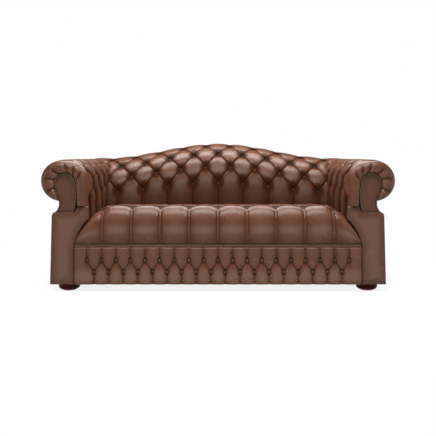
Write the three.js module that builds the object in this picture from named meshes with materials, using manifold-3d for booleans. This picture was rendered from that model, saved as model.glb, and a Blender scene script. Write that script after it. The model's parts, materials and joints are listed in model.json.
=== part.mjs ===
// Camelback sofa in buttoned leather: scroll arms, arched back, fixed seat and bun feet.
// Millimetres. X runs along the width, the front faces -Y, Z is up, and the origin lies on the floor
// under the middle. Depths are measured backwards from the front of the arm scrolls.
import * as THREE from "three";
import { mergeVertices } from "three/addons/utils/BufferGeometryUtils.js";
import Module from "manifold-3d";

const wasm = await Module();
wasm.setup();

// Overall sizes
const DEPTH = 930;
const BODY_HALF = 944; // half the body's width at the bottom; the arm rolls stand out over it
const FLOOR_GAP = 40; // underside of the body above the floor
const GAP = 0.3; // between pieces that touch
const OVERRUN = 100; // how far a cutting solid runs past what it cuts

// Layers of the upholstery, inwards from the fold lines
const PUFF = 16; // how far a puff stands over its folds
const BUTTON_SINK = 7; // how much deeper a button pulls than its folds
const COVER_THICK = 26; // leather and wadding at the folds
const FOAM_THICK = 24;
const LINING_THICK = 4;
const FOAM_OUT = COVER_THICK + GAP;
const FOAM_IN = FOAM_OUT + FOAM_THICK;
const LINING_OUT = FOAM_IN + GAP;
const LINING_IN = LINING_OUT + LINING_THICK;
const FRAME_OUT = LINING_IN + GAP;

// Buttoning
const BUTTON_PITCH = 163; // between buttons of one row
const ARM_ROW_STEP = 81.5;
const SEAT_ROW_STEP = 81.5;
const BACK_ROW_STEP = 122;
const CELLS_PER_PITCH = 4;
const CELL = BUTTON_PITCH / CELLS_PER_PITCH;

// Scroll roll that runs round both arms and the back
const ROLL_RADIUS = 112;
const ROLL_SWELL = 2; // how far the pleated leather stands over the roll
const ROLL_INSET = 58; // centre of the arm roll inside the body's side
const ROLL_ARM_X = BODY_HALF - ROLL_INSET;
const ROLL_ARM_Z = 626; // its height at the front
const ROLL_BACK_DEPTH = DEPTH - ROLL_RADIUS - ROLL_SWELL;
const ROLL_END_ANGLE = THREE.MathUtils.degToRad(-83); // where the roll's leather is tacked underneath

// Arms
const ARM_DEEP = 144; // from the roll's centre to the fold lines of the inner face
const ARM_INNER_X = ROLL_ARM_X - ARM_DEEP;
const ARM_COVER_FOOT = 380; // lowest edge of the inner cover
const ARM_BEND_Z = 640; // where the inner face starts to curl over
const ARM_BEND_RISE = 65;
const ARM_BEND_RUN = 86;
const ARM_FIRST_ROW_Z = 522;
const ARM_FIRST_COLUMN = 88; // depth of the first button
const ARM_ROWS = 4;
const ARM_SEAM_Z = 480; // seam over the front panel
const ARM_SPLIT = 15; // from those fold lines to the plane between the arm covers and the seat and back
const ARM_SPLIT_X = ARM_INNER_X - ARM_SPLIT;
const MITRE_OFFSET = ROLL_ARM_X - ROLL_BACK_DEPTH;

// Arm fronts
const HEAD_SHIFT = 26; // head of the keyhole-shaped facing inside the roll's centre
const HEAD_X = ROLL_ARM_X - HEAD_SHIFT;
const HEAD_Z = 603;
const HEAD_RADIUS = 62;
const FACING_FOOT_Z = 446;
const FACING_INNER_FOOT = 50; // these four from the middle of the head
const FACING_INNER_SIDE = 69;
const FACING_OUTER_FOOT = 51;
const FACING_NECK = 8; // pulls the outer side in to the neck
const FACING_INNER_FOOT_X = HEAD_X - FACING_INNER_FOOT;
const FACING_INNER_SIDE_X = HEAD_X - FACING_INNER_SIDE;
const FACING_OUTER_FOOT_X = HEAD_X + FACING_OUTER_FOOT;
const FACING_NECK_X = HEAD_X + FACING_NECK;
const FACING_NECK_Z = 508;
const FACING_NECK_TOP_Z = 548;
const FACING_SIDE_Z = 560;
const FACING_FRONT = 14;
const NOSE_FRONT = 1; // the padded front edge of the roll around the facing
const NOSE_REAR = 40;
const FACING_EDGE = 5;
const FRONT_BACKING = 36; // depth where every front panel lies on the frame
const NAIL_BAND = 9;
const NAIL_PROUD = 4;
const NAIL_BED = 4; // how far the leather at the nail line leans forward behind the nails

// Arm front panel and outside arm
const BODY_SLOPE = 9; // how much narrower the body is at its shoulder
const BODY_SHOULDER_X = BODY_HALF - BODY_SLOPE;
const BODY_SHOULDER_Z = 441;
const BODY_SHOULDER_ROUND = 18;
const PANEL_FRONT = 6;
const PANEL_EDGE = 9;
const PANEL_SEAT_CLEAR = 3;
const OUTSIDE_THICK = 8;
const OUTSIDE_NECK = 44; // how far the outside of the arm draws in under the roll
const OUTSIDE_NECK_X = BODY_HALF - OUTSIDE_NECK;

// Seat
const FRONT_PANEL = 139; // width of the panel on each side of the seat
const SEAT_HALF = BODY_HALF - FRONT_PANEL; // at the nail line
const SEAT_SLOPE = 205; // width over which the crest falls to the nail line
const SEAT_FLAT_HALF = SEAT_HALF - SEAT_SLOPE;
const SEAT_FALL_POWER = 1.7;
const SEAT_TRIM = 5; // where the fall is cut off
const SEAT_END = SEAT_HALF - SEAT_TRIM;
const NAIL_Z = 262;
const SEAT_CREST = 487;
const SEAT_NAIL_DEPTH = 16;
const SEAT_NOSE_DEPTH = 8;
const SEAT_NOSE_Z = 377;
const SEAT_ROUND = 80; // depth of the rounded front edge
const BACK_DEEP = 470; // from the foot of the back's face to the rear of the roll
const BACK_FOOT_DEPTH = DEPTH - BACK_DEEP;
const SEAT_CREVICE = 20; // between the seat's rear edge and the back's face
const SEAT_REAR_DEPTH = BACK_FOOT_DEPTH - SEAT_CREVICE;
const SEAT_REAR_Z = 455;
const SEAT_COVER_EDGE = 10.5; // thickness at the nail line
const SEAT_FIRST_ROW = 218; // along the section, from the nail line

// Back
const BACK_PEAK = 863;
const BACK_SHOULDER = 762;
const BACK_LEVEL = 144; // width at each end, inside the body's side, where the arch has ended
const BACK_ARCH_HALF = BODY_HALF - BACK_LEVEL;
const BACK_FOOT_Z = ARM_COVER_FOOT;
const BACK_BELLY = 10; // how far the face swells forward of its foot
const BACK_LEAN_DEPTH = BACK_FOOT_DEPTH - BACK_BELLY;
const BACK_LEAN_Z = 570;
const BACK_CURL = 110; // how far behind the foot the face curls over
const BACK_CURL_DEPTH = BACK_FOOT_DEPTH + BACK_CURL;
const BACK_CURL_Z = 826;
const BACK_FIRST_ROW = 232; // along the section, from the foot
const BACK_ROWS = 4;
const BACK_DROP_POWER = 0.6;
const ARCH_STEPS = 22; // straight stretches of the arch at the outside back
const OUTSIDE_BACK = 20; // outside of the back behind the roll's centre
const OUTSIDE_BACK_DEPTH = ROLL_BACK_DEPTH + OUTSIDE_BACK;

// Front border under the seat
const BORDER_CLEAR = 2;
const BORDER_HALF = SEAT_HALF - BORDER_CLEAR;
const BORDER_TOP = 250;
const BORDER_FRONT = 12;
const BORDER_BACK = 30;
const BORDER_PUFF = 7;
const BORDER_PITCH = 81.7;
const BORDER_UPPER_Z = 176;
const BORDER_LOWER_Z = 112;
const borderUpperCount = 2 * Math.floor(BORDER_HALF / BORDER_PITCH) + 1;
const WELT_RADIUS = 4;

// Frame
const BOARD = 28; // thickness of the beech rails and boards
const RAIL_BOTTOM = 42.3;
const RAIL_TOP = 272;
const FRONT_RAIL_DEPTH = BORDER_BACK + GAP;
const FRONT_BOARD_DEPTH = FRONT_BACKING + GAP;
const REAR_RAIL = 140; // rear seat rail behind the foot of the back's face
const REAR_RAIL_DEPTH = BACK_FOOT_DEPTH + REAR_RAIL;
const REAR_BOARD = 40; // rear arm board behind the front of that rail
const REAR_BOARD_DEPTH = REAR_RAIL_DEPTH + REAR_BOARD;
const SIDE_RAIL_INSET = 18;
const SIDE_RAIL_OUTER = BODY_HALF - SIDE_RAIL_INSET;
const BASE_RAIL_TOP = 160;
const BACK_RAIL = 42; // front of the top rail and the uprights before the outside of the back
const BACK_RAIL_DEPTH = OUTSIDE_BACK_DEPTH - BACK_RAIL;
const BACK_RAIL_DROP = 35; // bottom of the top rail under the roll's centre
const TOP_RAIL_HALF = 22;
const TOP_RAIL_SHIFT = 10; // the arm's top rail over and outside the middle of the facing's head
const TOP_RAIL_X = HEAD_X + TOP_RAIL_SHIFT;
const TOP_RAIL_Z = HEAD_Z + TOP_RAIL_SHIFT;
const TACKING_HEIGHT = 50;
const TACKING_LIFT = 5; // tacking rails over the lowest edge of the covers
const TACKING_Z = ARM_COVER_FOOT + TACKING_LIFT;
const TACKING_THICK = 26;
const CROSS_RAIL_BOTTOM = 150;
const CROSS_RAIL_TOP = 250;
const UPRIGHT_X = 400;
const UPRIGHT_WIDTH = 60;
const BLOCK_LENGTH = 85;
const BLOCK_HEIGHT = 56;
const FOOT_INSET = 93; // middle of a foot inside the body's side
const FOOT_X = BODY_HALF - FOOT_INSET;
const BLOCK_REACH = 36; // how far a corner block reaches past the middle of its foot
const BLOCK_INNER_X = FOOT_X - BLOCK_REACH;

// Springs
const SPRING_PITCH = 130;
const SPRING_SWING = 25;
const SPRING_WIRE = 1.9;
const SPRING_HALF_WAVES = 14;
const SPRING_STEPS = 2; // per half wave
const SPRING_SIDES = 3;
const SPRING_INSET = 14; // how far the ends lie in on the rails
const SPRING_ARCH = 20;
const TIE_WIRE = 1.5;
const TIE_SHARES = [0.33, 0.67];
const SHEET_THICK = 3;
const SHEET_CLEAR = 9;
const SHEET_HALF = ARM_SPLIT_X - SHEET_CLEAR;
const SHEET_STEPS = 6;

// Feet
const FOOT_FRONT_DEPTH = 82;
const FOOT_REAR = 74; // middle of a rear foot before the outside of the back
const FOOT_REAR_DEPTH = OUTSIDE_BACK_DEPTH - FOOT_REAR;
const FOOT_RADIUS = 60;
const FOOT_BASE_RADIUS = 38;
const FOOT_TOP_RADIUS = 57;
// The bun's outline: how far it has widened from the base to the full radius, by share of its height.
const FOOT_OUTLINE = [
  { widthShare: 0, heightShare: 0 },
  { widthShare: 0.55, heightShare: 0.12 },
  { widthShare: 0.88, heightShare: 0.35 },
  { widthShare: 1, heightShare: 0.65 },
  { widthShare: 1, heightShare: 0.85 },
];
const BOLT_RADIUS = 5;
const BOLT_BOTTOM = 12;
const BOLT_TOP = 94;
const SHEET_UNDER = 2; // dust cover

const LEATHER = { color: 0x6a4a3c, roughness: 0.42, metalness: 0 };
const BEECH = { color: 0xc9a473, roughness: 0.7, metalness: 0 };
const FOAM = { color: 0xe6dcc0, roughness: 0.95, metalness: 0 };
const BOARDING = { color: 0x8a6b4a, roughness: 0.9, metalness: 0 };
const STEEL = { color: 0x8d9094, roughness: 0.35, metalness: 1 };
const BRASS = { color: 0x5e5236, roughness: 0.4, metalness: 1 };
const CLOTH = { color: 0x2c2a2a, roughness: 0.95, metalness: 0 };
const MAHOGANY = { color: 0x3a0c0a, roughness: 0.3, metalness: 0 };

const sofa = new THREE.Group();

// General helpers

function add(name, geometry, finish) {
  const mesh = new THREE.Mesh(geometry, new THREE.MeshStandardMaterial(finish));
  mesh.name = name;
  sofa.add(mesh);
  return mesh;
}

// One copy on each side, made for +X: L is the side at -X.
function addPair(name, geometry, finish) {
  add(name + "_R", geometry, finish);
  add(name + "_L", geometry, finish).scale.x = -1;
}

function toSolid(geometry) {
  const bare = geometry.clone();
  bare.deleteAttribute("normal");
  bare.deleteAttribute("uv");
  const merged = mergeVertices(bare);
  const vertProperties = merged.attributes.position.array;
  const triVerts = new Uint32Array(merged.index.array);
  return new wasm.Manifold(new wasm.Mesh({ numProp: 3, vertProperties, triVerts }));
}

function toGeometry(solid) {
  const mesh = solid.getMesh();
  return new THREE.BufferGeometry()
    .setAttribute("position", new THREE.BufferAttribute(mesh.vertProperties, 3))
    .setIndex(new THREE.BufferAttribute(mesh.triVerts, 1));
}

const atDepth = (depth) => depth - DEPTH / 2;
const clamp01 = (value) => Math.min(Math.max(value, 0), 1);
const lerp = THREE.MathUtils.lerp;

function range(count, make) {
  return Array.from({ length: count }, (unused, i) => make(i));
}

// Evenly spaced values from a to b, both included.
function spread(a, b, cells) {
  return range(cells + 1, (i) => lerp(a, b, i / cells));
}

// A box between two corners, given as x, depth and z.
function box(x0, depth0, z0, x1, depth1, z1) {
  const geometry = new THREE.BoxGeometry(x1 - x0, depth1 - depth0, z1 - z0);
  return geometry.translate((x0 + x1) / 2, atDepth((depth0 + depth1) / 2), (z0 + z1) / 2);
}

// A board cut to an outline in x and z and laid from one depth to another.
function board(shape, depth0, depth1, edge = 0, segments = 8) {
  const geometry = new THREE.ExtrudeGeometry(shape, {
    depth: depth1 - depth0 - 2 * edge,
    bevelEnabled: edge > 0,
    bevelThickness: edge,
    bevelSize: edge,
    bevelOffset: -edge,
    bevelSegments: edge > FACING_EDGE ? 2 : 1,
    curveSegments: segments,
  });
  return geometry.rotateX(Math.PI / 2).translate(0, atDepth(depth1 - edge), 0);
}

// A board cut to an outline in depth and z and laid from one x to another.
function crossBoard(points, x0, x1) {
  const shape = new THREE.Shape(points);
  const geometry = new THREE.ExtrudeGeometry(shape, { depth: x1 - x0, bevelEnabled: false });
  geometry.rotateX(Math.PI / 2).rotateZ(Math.PI / 2);
  return geometry.translate(x0, atDepth(0), 0);
}

// A closed loft through rings of equal count. flatten gives a ring's point as seen along the loft's way.
// Each face is split along the diagonal that lies nearer to the heart, so a fold stays sharp and two
// layers that follow each other never cross.
function loft(rings, flatten, heart) {
  const flat = rings[0].map(flatten);
  const loops = THREE.ShapeUtils.isClockWise(flat) ? rings.map((ring) => [...ring].reverse()) : rings;
  const count = loops[0].length;
  const triangles = [];
  const depthOf = (a, b) => flatten(a.clone().add(b).divideScalar(2)).distanceTo(heart);
  for (let i = 0; i + 1 < loops.length; i++) {
    for (let j = 0; j < count; j++) {
      const k = (j + 1) % count;
      const [a, b, c, d] = [loops[i][j], loops[i][k], loops[i + 1][k], loops[i + 1][j]];
      if (depthOf(a, c) <= depthOf(b, d)) triangles.push(a, b, c, a, c, d);
      else triangles.push(a, b, d, b, c, d);
    }
  }
  const cap = (ring, turned) => {
    for (const [a, b, c] of THREE.ShapeUtils.triangulateShape(ring.map(flatten), [])) {
      triangles.push(ring[a], turned ? ring[c] : ring[b], turned ? ring[b] : ring[c]);
    }
  };
  cap(loops[0], true);
  cap(loops[loops.length - 1], false);
  return new THREE.BufferGeometry().setFromPoints(triangles);
}

const alongX = (p) => new THREE.Vector2(p.y, p.z);
const alongY = (p) => new THREE.Vector2(p.z, p.x);

// A prism over a plan outline in x and depth, as tall as any piece.
function planPrism(points) {
  const shape = new THREE.Shape(points.map(([x, depth]) => new THREE.Vector2(x, atDepth(depth))));
  const tall = BACK_PEAK + 2 * OVERRUN;
  const geometry = new THREE.ExtrudeGeometry(shape, { depth: tall, bevelEnabled: false });
  return toSolid(geometry.translate(0, 0, -OVERRUN));
}

// Sections: curves whose left side is the outside, walked by length

function pathOf(...curves) {
  const path = new THREE.CurvePath();
  curves.forEach((curve) => path.add(curve));
  return path;
}

// The point at a length along a section, moved outwards by some amount.
function pointOn(path, length, outwards) {
  const whole = path.getLength();
  const step = whole / 2000;
  const at = (s) => path.getPoint(clamp01(s / whole));
  const ahead = at(length + step);
  const behind = at(length - step);
  const tangent = ahead.sub(behind).normalize();
  return at(length).add(new THREE.Vector2(-tangent.y, tangent.x).multiplyScalar(outwards));
}

const v2 = (a, b) => new THREE.Vector2(a, b);

function rollArc(centre, z) {
  return new THREE.EllipseCurve(centre, z, ROLL_RADIUS, ROLL_RADIUS, Math.PI / 2, ROLL_END_ANGLE, true);
}

// Buttoned leather: folds run from button to button in diamonds, and as straight pleats beyond the
// first and the last row. s and t count pitches; the rows lie half a pitch apart in t, from 0 to last.
function tuft(s, t, last) {
  if (t <= 0) return Math.abs(Math.sin(Math.PI * s));
  if (t >= last) return Math.abs(Math.sin(Math.PI * (s - last)));
  return Math.sqrt(Math.abs(Math.sin(Math.PI * (s + t)) * Math.sin(Math.PI * (s - t))));
}

// Whether s, t is a button's place.
function isButton(s, t, last) {
  const whole = (value) => Math.abs(value - Math.round(value)) < 1 / (4 * CELLS_PER_PITCH);
  const within = t > -1 / (4 * CELLS_PER_PITCH) && t < last + 1 / (4 * CELLS_PER_PITCH);
  return within && whole(s + t) && whole(s - t);
}

function relief(s, t, last, fade) {
  return PUFF * fade * tuft(s, t, last) - (isButton(s, t, last) ? BUTTON_SINK : 0);
}

// Lengths along a section: the stretch up to the first row, two cells per row, and the stretch beyond.
function rowLengths(first, step, rows, end, before, beyond) {
  const last = first + step * (rows - 1);
  const between = spread(first, last, 2 * (rows - 1)).slice(1);
  return [...spread(0, first, before), ...between, ...spread(last, end, beyond).slice(1)];
}

// Arms
const armRise = BACK_SHOULDER - ROLL_RADIUS - ROLL_ARM_Z; // the roll climbs by this to the back corner
const boardRear = FRONT_BOARD_DEPTH + BOARD;
const paddingDepth = boardRear + 5 * GAP; // behind the arm board the cover lies on the foam

const armPath = pathOf(
  new THREE.LineCurve(v2(ARM_INNER_X, ARM_COVER_FOOT), v2(ARM_INNER_X, ARM_BEND_Z)),
  new THREE.CubicBezierCurve(
    v2(ARM_INNER_X, ARM_BEND_Z),
    v2(ARM_INNER_X, ARM_BEND_Z + ARM_BEND_RISE),
    v2(ROLL_ARM_X - ARM_BEND_RUN, ROLL_ARM_Z + ROLL_RADIUS),
    v2(ROLL_ARM_X, ROLL_ARM_Z + ROLL_RADIUS),
  ),
  rollArc(ROLL_ARM_X, ROLL_ARM_Z),
);
const armLength = armPath.getLength();
const armFirstRow = ARM_FIRST_ROW_Z - ARM_COVER_FOOT;
const armLastRow = armFirstRow + ARM_ROW_STEP * (ARM_ROWS - 1);

// The arm's roll climbs towards the back, while the foot of its inner face stays level.
function armPoint(depth, p, share = 1) {
  return new THREE.Vector3(p.x, atDepth(depth), p.y + (armRise * share * depth) / ROLL_BACK_DEPTH);
}
const armShare = (length) => clamp01(length / (ARM_BEND_Z - ARM_COVER_FOOT));
const armHeart = v2(ROLL_ARM_Z, ROLL_ARM_X);

// The facing's outline from the foot of its inner side over the head to the foot of its outer side.
function facingShape(inset) {
  const shape = new THREE.Shape();
  shape.moveTo(FACING_INNER_FOOT_X + inset, FACING_FOOT_Z + inset);
  shape.bezierCurveTo(
    FACING_INNER_SIDE_X + inset, ARM_SEAM_Z,
    FACING_INNER_SIDE_X + inset, FACING_SIDE_Z,
    HEAD_X - HEAD_RADIUS + inset, HEAD_Z,
  );
  shape.absarc(HEAD_X, HEAD_Z, HEAD_RADIUS - inset, Math.PI, 0, true);
  shape.bezierCurveTo(
    HEAD_X + HEAD_RADIUS - inset, FACING_NECK_TOP_Z,
    FACING_NECK_X - inset, FACING_NECK_Z,
    FACING_OUTER_FOOT_X - inset, FACING_FOOT_Z + inset,
  );
  shape.closePath();
  return shape;
}

// The part of that outline that the roll's padding meets: from the seam up and over to the neck.
const facingEdge = (() => {
  const side = new THREE.CubicBezierCurve(
    v2(FACING_INNER_SIDE_X, ARM_SEAM_Z),
    v2(FACING_INNER_SIDE_X, ARM_SEAM_Z),
    v2(FACING_INNER_SIDE_X, FACING_SIDE_Z),
    v2(HEAD_X - HEAD_RADIUS, HEAD_Z),
  );
  const head = new THREE.EllipseCurve(HEAD_X, HEAD_Z, HEAD_RADIUS, HEAD_RADIUS, Math.PI, 0, true);
  const outer = new THREE.CubicBezierCurve(
    v2(HEAD_X + HEAD_RADIUS, HEAD_Z),
    v2(HEAD_X + HEAD_RADIUS, FACING_NECK_TOP_Z + (HEAD_Z - FACING_NECK_TOP_Z) / 2),
    v2(HEAD_X + HEAD_RADIUS - PANEL_EDGE, FACING_NECK_TOP_Z),
    v2(OUTSIDE_NECK_X, ROLL_ARM_Z - ROLL_RADIUS + COVER_THICK - PANEL_EDGE),
  );
  return pathOf(side, head, outer);
})();

function facingEdgePoint(length, outwards) {
  const seam = ARM_SEAM_Z - ARM_COVER_FOOT;
  if (length < seam) return v2(FACING_INNER_SIDE_X - outwards, ARM_COVER_FOOT + length);
  return pointOn(facingEdge, (facingEdge.getLength() * (length - seam)) / (armLength - seam), outwards);
}

const armLengths = rowLengths(armFirstRow, ARM_ROW_STEP, ARM_ROWS, armLength, 2, 8);
const armInnerLengths = [0, ARM_BEND_Z - ARM_COVER_FOOT, ...spread(armLastRow, armLength, 6)];

// The padded front edge: how far the section has opened from the facing's edge to the full roll, at
// its outer and inner side, by depth.
const ARM_NOSE = [
  { depth: NOSE_FRONT, outerShare: 0.56, innerShare: 0.36 },
  { depth: lerp(NOSE_FRONT, NOSE_REAR, 0.13), outerShare: 0.75, innerShare: 0.18 },
  { depth: lerp(NOSE_FRONT, NOSE_REAR, 0.41), outerShare: 0.91, innerShare: 0 },
  { depth: NOSE_REAR, outerShare: 1, innerShare: 0 },
  { depth: boardRear + GAP, outerShare: 1, innerShare: 0 },
];

function armRing(depth, outerShare, innerShare, tufted) {
  const s = (depth - ARM_FIRST_COLUMN) / BUTTON_PITCH;
  const last = (ARM_ROWS - 1) / 2;
  const outer = armLengths.map((length) => {
    const t = (length - armFirstRow) / (2 * ARM_ROW_STEP);
    const over = clamp01((length - armLastRow) / (armLength - armLastRow));
    const fade = 1 - (1 - ROLL_SWELL / PUFF) * Math.sqrt(over);
    const rise = tufted ? relief(s, t, last, fade) : ROLL_SWELL;
    const p = facingEdgePoint(length, 0).lerp(pointOn(armPath, length, rise), outerShare);
    return armPoint(depth, p, armShare(length));
  });
  const inner = armInnerLengths.map((length) => {
    const free = pointOn(armPath, length, -COVER_THICK);
    const p = innerShare === null ? free : facingEdgePoint(length, -FACING_EDGE).lerp(free, innerShare);
    return armPoint(depth, p, armShare(length));
  });
  return [...outer, ...inner.reverse()];
}

// Everything of an arm lies outside the split plane and in front of the mitre with the back.
const mitreFar = BODY_HALF + 2 * OVERRUN;
const armRegion = planPrism([
  [ARM_SPLIT_X, -OVERRUN],
  [mitreFar, -OVERRUN],
  [mitreFar, mitreFar - MITRE_OFFSET - GAP],
  [ARM_SPLIT_X, ARM_SPLIT_X - MITRE_OFFSET - GAP],
]);

function armCover() {
  const rings = ARM_NOSE.map((nose) => armRing(nose.depth, nose.outerShare, nose.innerShare, false));
  const first = ARM_FIRST_COLUMN;
  const columns = Math.ceil((DEPTH - first) / CELL);
  rings.push(armRing(paddingDepth, 1, null, true));
  for (let i = 0; i <= columns; i++) rings.push(armRing(first + i * CELL, 1, null, true));
  const underSeam = box(0, -OVERRUN, 0, HEAD_X, boardRear + GAP, ARM_SEAM_Z + GAP);
  const facing = board(facingShape(-GAP), -OVERRUN, boardRear + GAP, 0, 10);
  const whole = toSolid(loft(rings, alongY, armHeart)).intersect(armRegion);
  return toGeometry(whole.subtract(toSolid(underSeam)).subtract(toSolid(facing)));
}

// What lies inside the arm at some offset from the fold lines, open downwards when it is to cut.
function armCore(offset, cuts) {
  const rings = [cuts ? 0 : paddingDepth + GAP, DEPTH + OVERRUN].map((depth) => {
    const ring = armInnerLengths.map((length) =>
      armPoint(depth, pointOn(armPath, length, -offset), armShare(length)),
    );
    if (!cuts) return ring;
    const below = [ring[ring.length - 1], ring[0]].map((p) => new THREE.Vector3(p.x, p.y, p.z - 2 * OVERRUN));
    return [...ring, ...below];
  });
  return toSolid(loft(rings, alongY, armHeart));
}

function armLayer(outside, inside) {
  return toGeometry(armCore(outside, false).subtract(armCore(inside, true)).intersect(armRegion));
}

addPair("arm_cover", armCover(), LEATHER);
addPair("arm_foam", armLayer(FOAM_OUT, FOAM_IN), FOAM);
addPair("arm_lining", armLayer(LINING_OUT, LINING_IN), BOARDING);
addPair("arm_facing", board(facingShape(GAP), FACING_FRONT, FRONT_BACKING, FACING_EDGE, 10), LEATHER);

function facingNailTrim() {
  const whole = board(facingShape(FACING_EDGE), FACING_FRONT - NAIL_PROUD, FACING_FRONT - GAP, 0, 10);
  const middle = board(facingShape(FACING_EDGE + NAIL_BAND), -OVERRUN, FACING_FRONT, 0, 10);
  return toGeometry(toSolid(whole).subtract(toSolid(middle)));
}
addPair("facing_nail_trim", facingNailTrim(), BRASS);

// Seat: the crest falls towards the arms, where the leather is pulled down
const seatRise = SEAT_CREST - NAIL_Z;

function seatFall(x) {
  const share = clamp01((Math.abs(x) - SEAT_FLAT_HALF) / (SEAT_HALF - SEAT_FLAT_HALF));
  return (1 - share ** SEAT_FALL_POWER) ** (1 / SEAT_FALL_POWER);
}

const seatPath = pathOf(
  new THREE.QuadraticBezierCurve(
    v2(SEAT_NAIL_DEPTH, NAIL_Z),
    v2(SEAT_NOSE_DEPTH, NAIL_Z + (SEAT_NOSE_Z - NAIL_Z) / 2),
    v2(SEAT_NOSE_DEPTH, SEAT_NOSE_Z),
  ),
  new THREE.EllipseCurve(
    SEAT_NOSE_DEPTH + SEAT_ROUND, SEAT_NOSE_Z, SEAT_ROUND, SEAT_CREST - SEAT_NOSE_Z, Math.PI, Math.PI / 2, true,
  ),
  new THREE.LineCurve(v2(SEAT_NOSE_DEPTH + SEAT_ROUND, SEAT_CREST), v2(SEAT_REAR_DEPTH, SEAT_REAR_Z)),
);
const seatLength = seatPath.getLength();
const seatRows = Math.floor((seatLength - SEAT_FIRST_ROW) / SEAT_ROW_STEP) + 1;
const seatLengths = rowLengths(SEAT_FIRST_ROW, SEAT_ROW_STEP, seatRows, seatLength, 5, 2);
seatLengths.splice(1, 0, NAIL_BAND);
const seatHeart = v2(atDepth(SEAT_REAR_DEPTH / 2), FLOOR_GAP);
const seatInnerLengths = [
  0, SEAT_COVER_EDGE * 2, ...spread(SEAT_NOSE_Z - NAIL_Z, SEAT_FIRST_ROW + CELL, 3), seatLength,
];

// The foam's crest follows the fall in straight stretches between these places: cells from the middle.
const seatCells = Math.floor(SEAT_END / CELL);
const seatStops = [0, 2, 4, 8, 12, seatCells - 3, seatCells - 2, seatCells - 1, seatCells]
  .filter((cell, i, cells) => i === 0 || cell > cells[i - 1])
  .map((cell) => cell * CELL);
seatStops.push(SEAT_END);

function throughStops(stops, x, value) {
  const far = Math.min(Math.abs(x), stops[stops.length - 1]);
  const i = Math.max(stops.findIndex((stop) => stop >= far), 1);
  const share = (far - stops[i - 1]) / (stops[i] - stops[i - 1]);
  return lerp(value(stops[i - 1]), value(stops[i]), share);
}

function seatPoint(x, p, fall) {
  return new THREE.Vector3(x, atDepth(p.x), NAIL_Z + (p.y - NAIL_Z) * fall);
}

const seatThickness = (length, fall) => Math.min(SEAT_COVER_EDGE + (length * fall) / 3, COVER_THICK);

function seatInnerLine(x, gap) {
  const fall = throughStops(seatStops, x, seatFall);
  return seatInnerLengths.map((length) =>
    seatPoint(x, pointOn(seatPath, length, -seatThickness(length, fall) - gap), fall),
  );
}

function seatRing(x) {
  const s = x / BUTTON_PITCH;
  const last = (seatRows - 1) / 2;
  const outer = seatLengths.map((length) => {
    const t = (length - SEAT_FIRST_ROW) / (2 * SEAT_ROW_STEP);
    const risen = clamp01((length - NAIL_BAND) / (SEAT_FIRST_ROW - NAIL_BAND));
    const fade = length === seatLength ? 0 : Math.sqrt(risen * seatFall(x));
    return seatPoint(x, pointOn(seatPath, length, relief(s, t, last, fade)), seatFall(x));
  });
  return [...outer, ...seatInnerLine(x, 0).reverse()];
}

// The seat fills the space between the arms, and its front reaches past them as far as the frame.
const seatRegion = (() => {
  const inner = ARM_SPLIT_X - 2 * GAP;
  const outline = [
    [-inner, DEPTH], [-inner, FRONT_BACKING], [-SEAT_HALF, FRONT_BACKING], [-SEAT_HALF, -OVERRUN],
    [SEAT_HALF, -OVERRUN], [SEAT_HALF, FRONT_BACKING], [inner, FRONT_BACKING], [inner, DEPTH],
  ];
  return planPrism(outline);
})();

const seatPlaces = [-SEAT_END, ...spread(-seatCells * CELL, seatCells * CELL, 2 * seatCells), SEAT_END];

function seatCover() {
  return toGeometry(toSolid(loft(seatPlaces.map(seatRing), alongX, seatHeart)).intersect(seatRegion));
}

// Springs lie on the rails and arch in between; the sheet and the foam follow the arch
const springFront = FRONT_RAIL_DEPTH + SPRING_INSET;
const springRear = REAR_RAIL_DEPTH + SPRING_INSET;
const springLevel = RAIL_TOP + GAP + SPRING_WIRE;

function archAt(depth) {
  return SPRING_ARCH * Math.sin(Math.PI * clamp01((depth - springFront) / (springRear - springFront)));
}

class SpringCurve extends THREE.Curve {
  constructor(x) {
    super();
    this.x = x;
  }
  getPoint(t, target = new THREE.Vector3()) {
    const depth = lerp(springFront, springRear, t);
    const swing = SPRING_SWING * Math.sin(Math.PI * SPRING_HALF_WAVES * t);
    return target.set(this.x + swing, atDepth(depth), springLevel + archAt(depth));
  }
}

function springUnit() {
  const wire = new THREE.Shape(
    range(SPRING_SIDES, (i) => {
      const angle = (2 * Math.PI * i) / SPRING_SIDES;
      return v2(SPRING_WIRE * Math.cos(angle), SPRING_WIRE * Math.sin(angle));
    }),
  );
  const perSide = Math.floor((SHEET_HALF - SPRING_SWING) / SPRING_PITCH);
  const outer = perSide * SPRING_PITCH;
  const springs = spread(-outer, outer, 2 * perSide).map((x) =>
    toSolid(
      new THREE.ExtrudeGeometry(wire, {
        steps: SPRING_HALF_WAVES * SPRING_STEPS,
        extrudePath: new SpringCurve(x),
      }),
    ),
  );
  const ties = TIE_SHARES.map((share) => {
    const depth = lerp(springFront, springRear, share);
    const tie = new THREE.CylinderGeometry(TIE_WIRE, TIE_WIRE, 2 * (outer + SPRING_SWING), SPRING_SIDES);
    return toSolid(tie.rotateZ(Math.PI / 2).translate(0, atDepth(depth), springLevel + archAt(depth)));
  });
  return toGeometry([...springs, ...ties].reduce((whole, one) => whole.add(one)));
}

// Points of a level line that follows the springs' arch, from one depth to another.
function archLine(depth0, depth1, lift) {
  const top = springLevel + SPRING_WIRE + lift;
  return spread(depth0, depth1, SHEET_STEPS).map((depth) => v2(depth, top + archAt(depth)));
}

const sheetFront = springFront + GAP;
const sheetRear = springRear - GAP;
const sheetLift = 2 * GAP;
const sheetOutline = [
  ...archLine(sheetFront, sheetRear, sheetLift),
  ...archLine(sheetFront, sheetRear, sheetLift + SHEET_THICK).reverse(),
];

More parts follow.
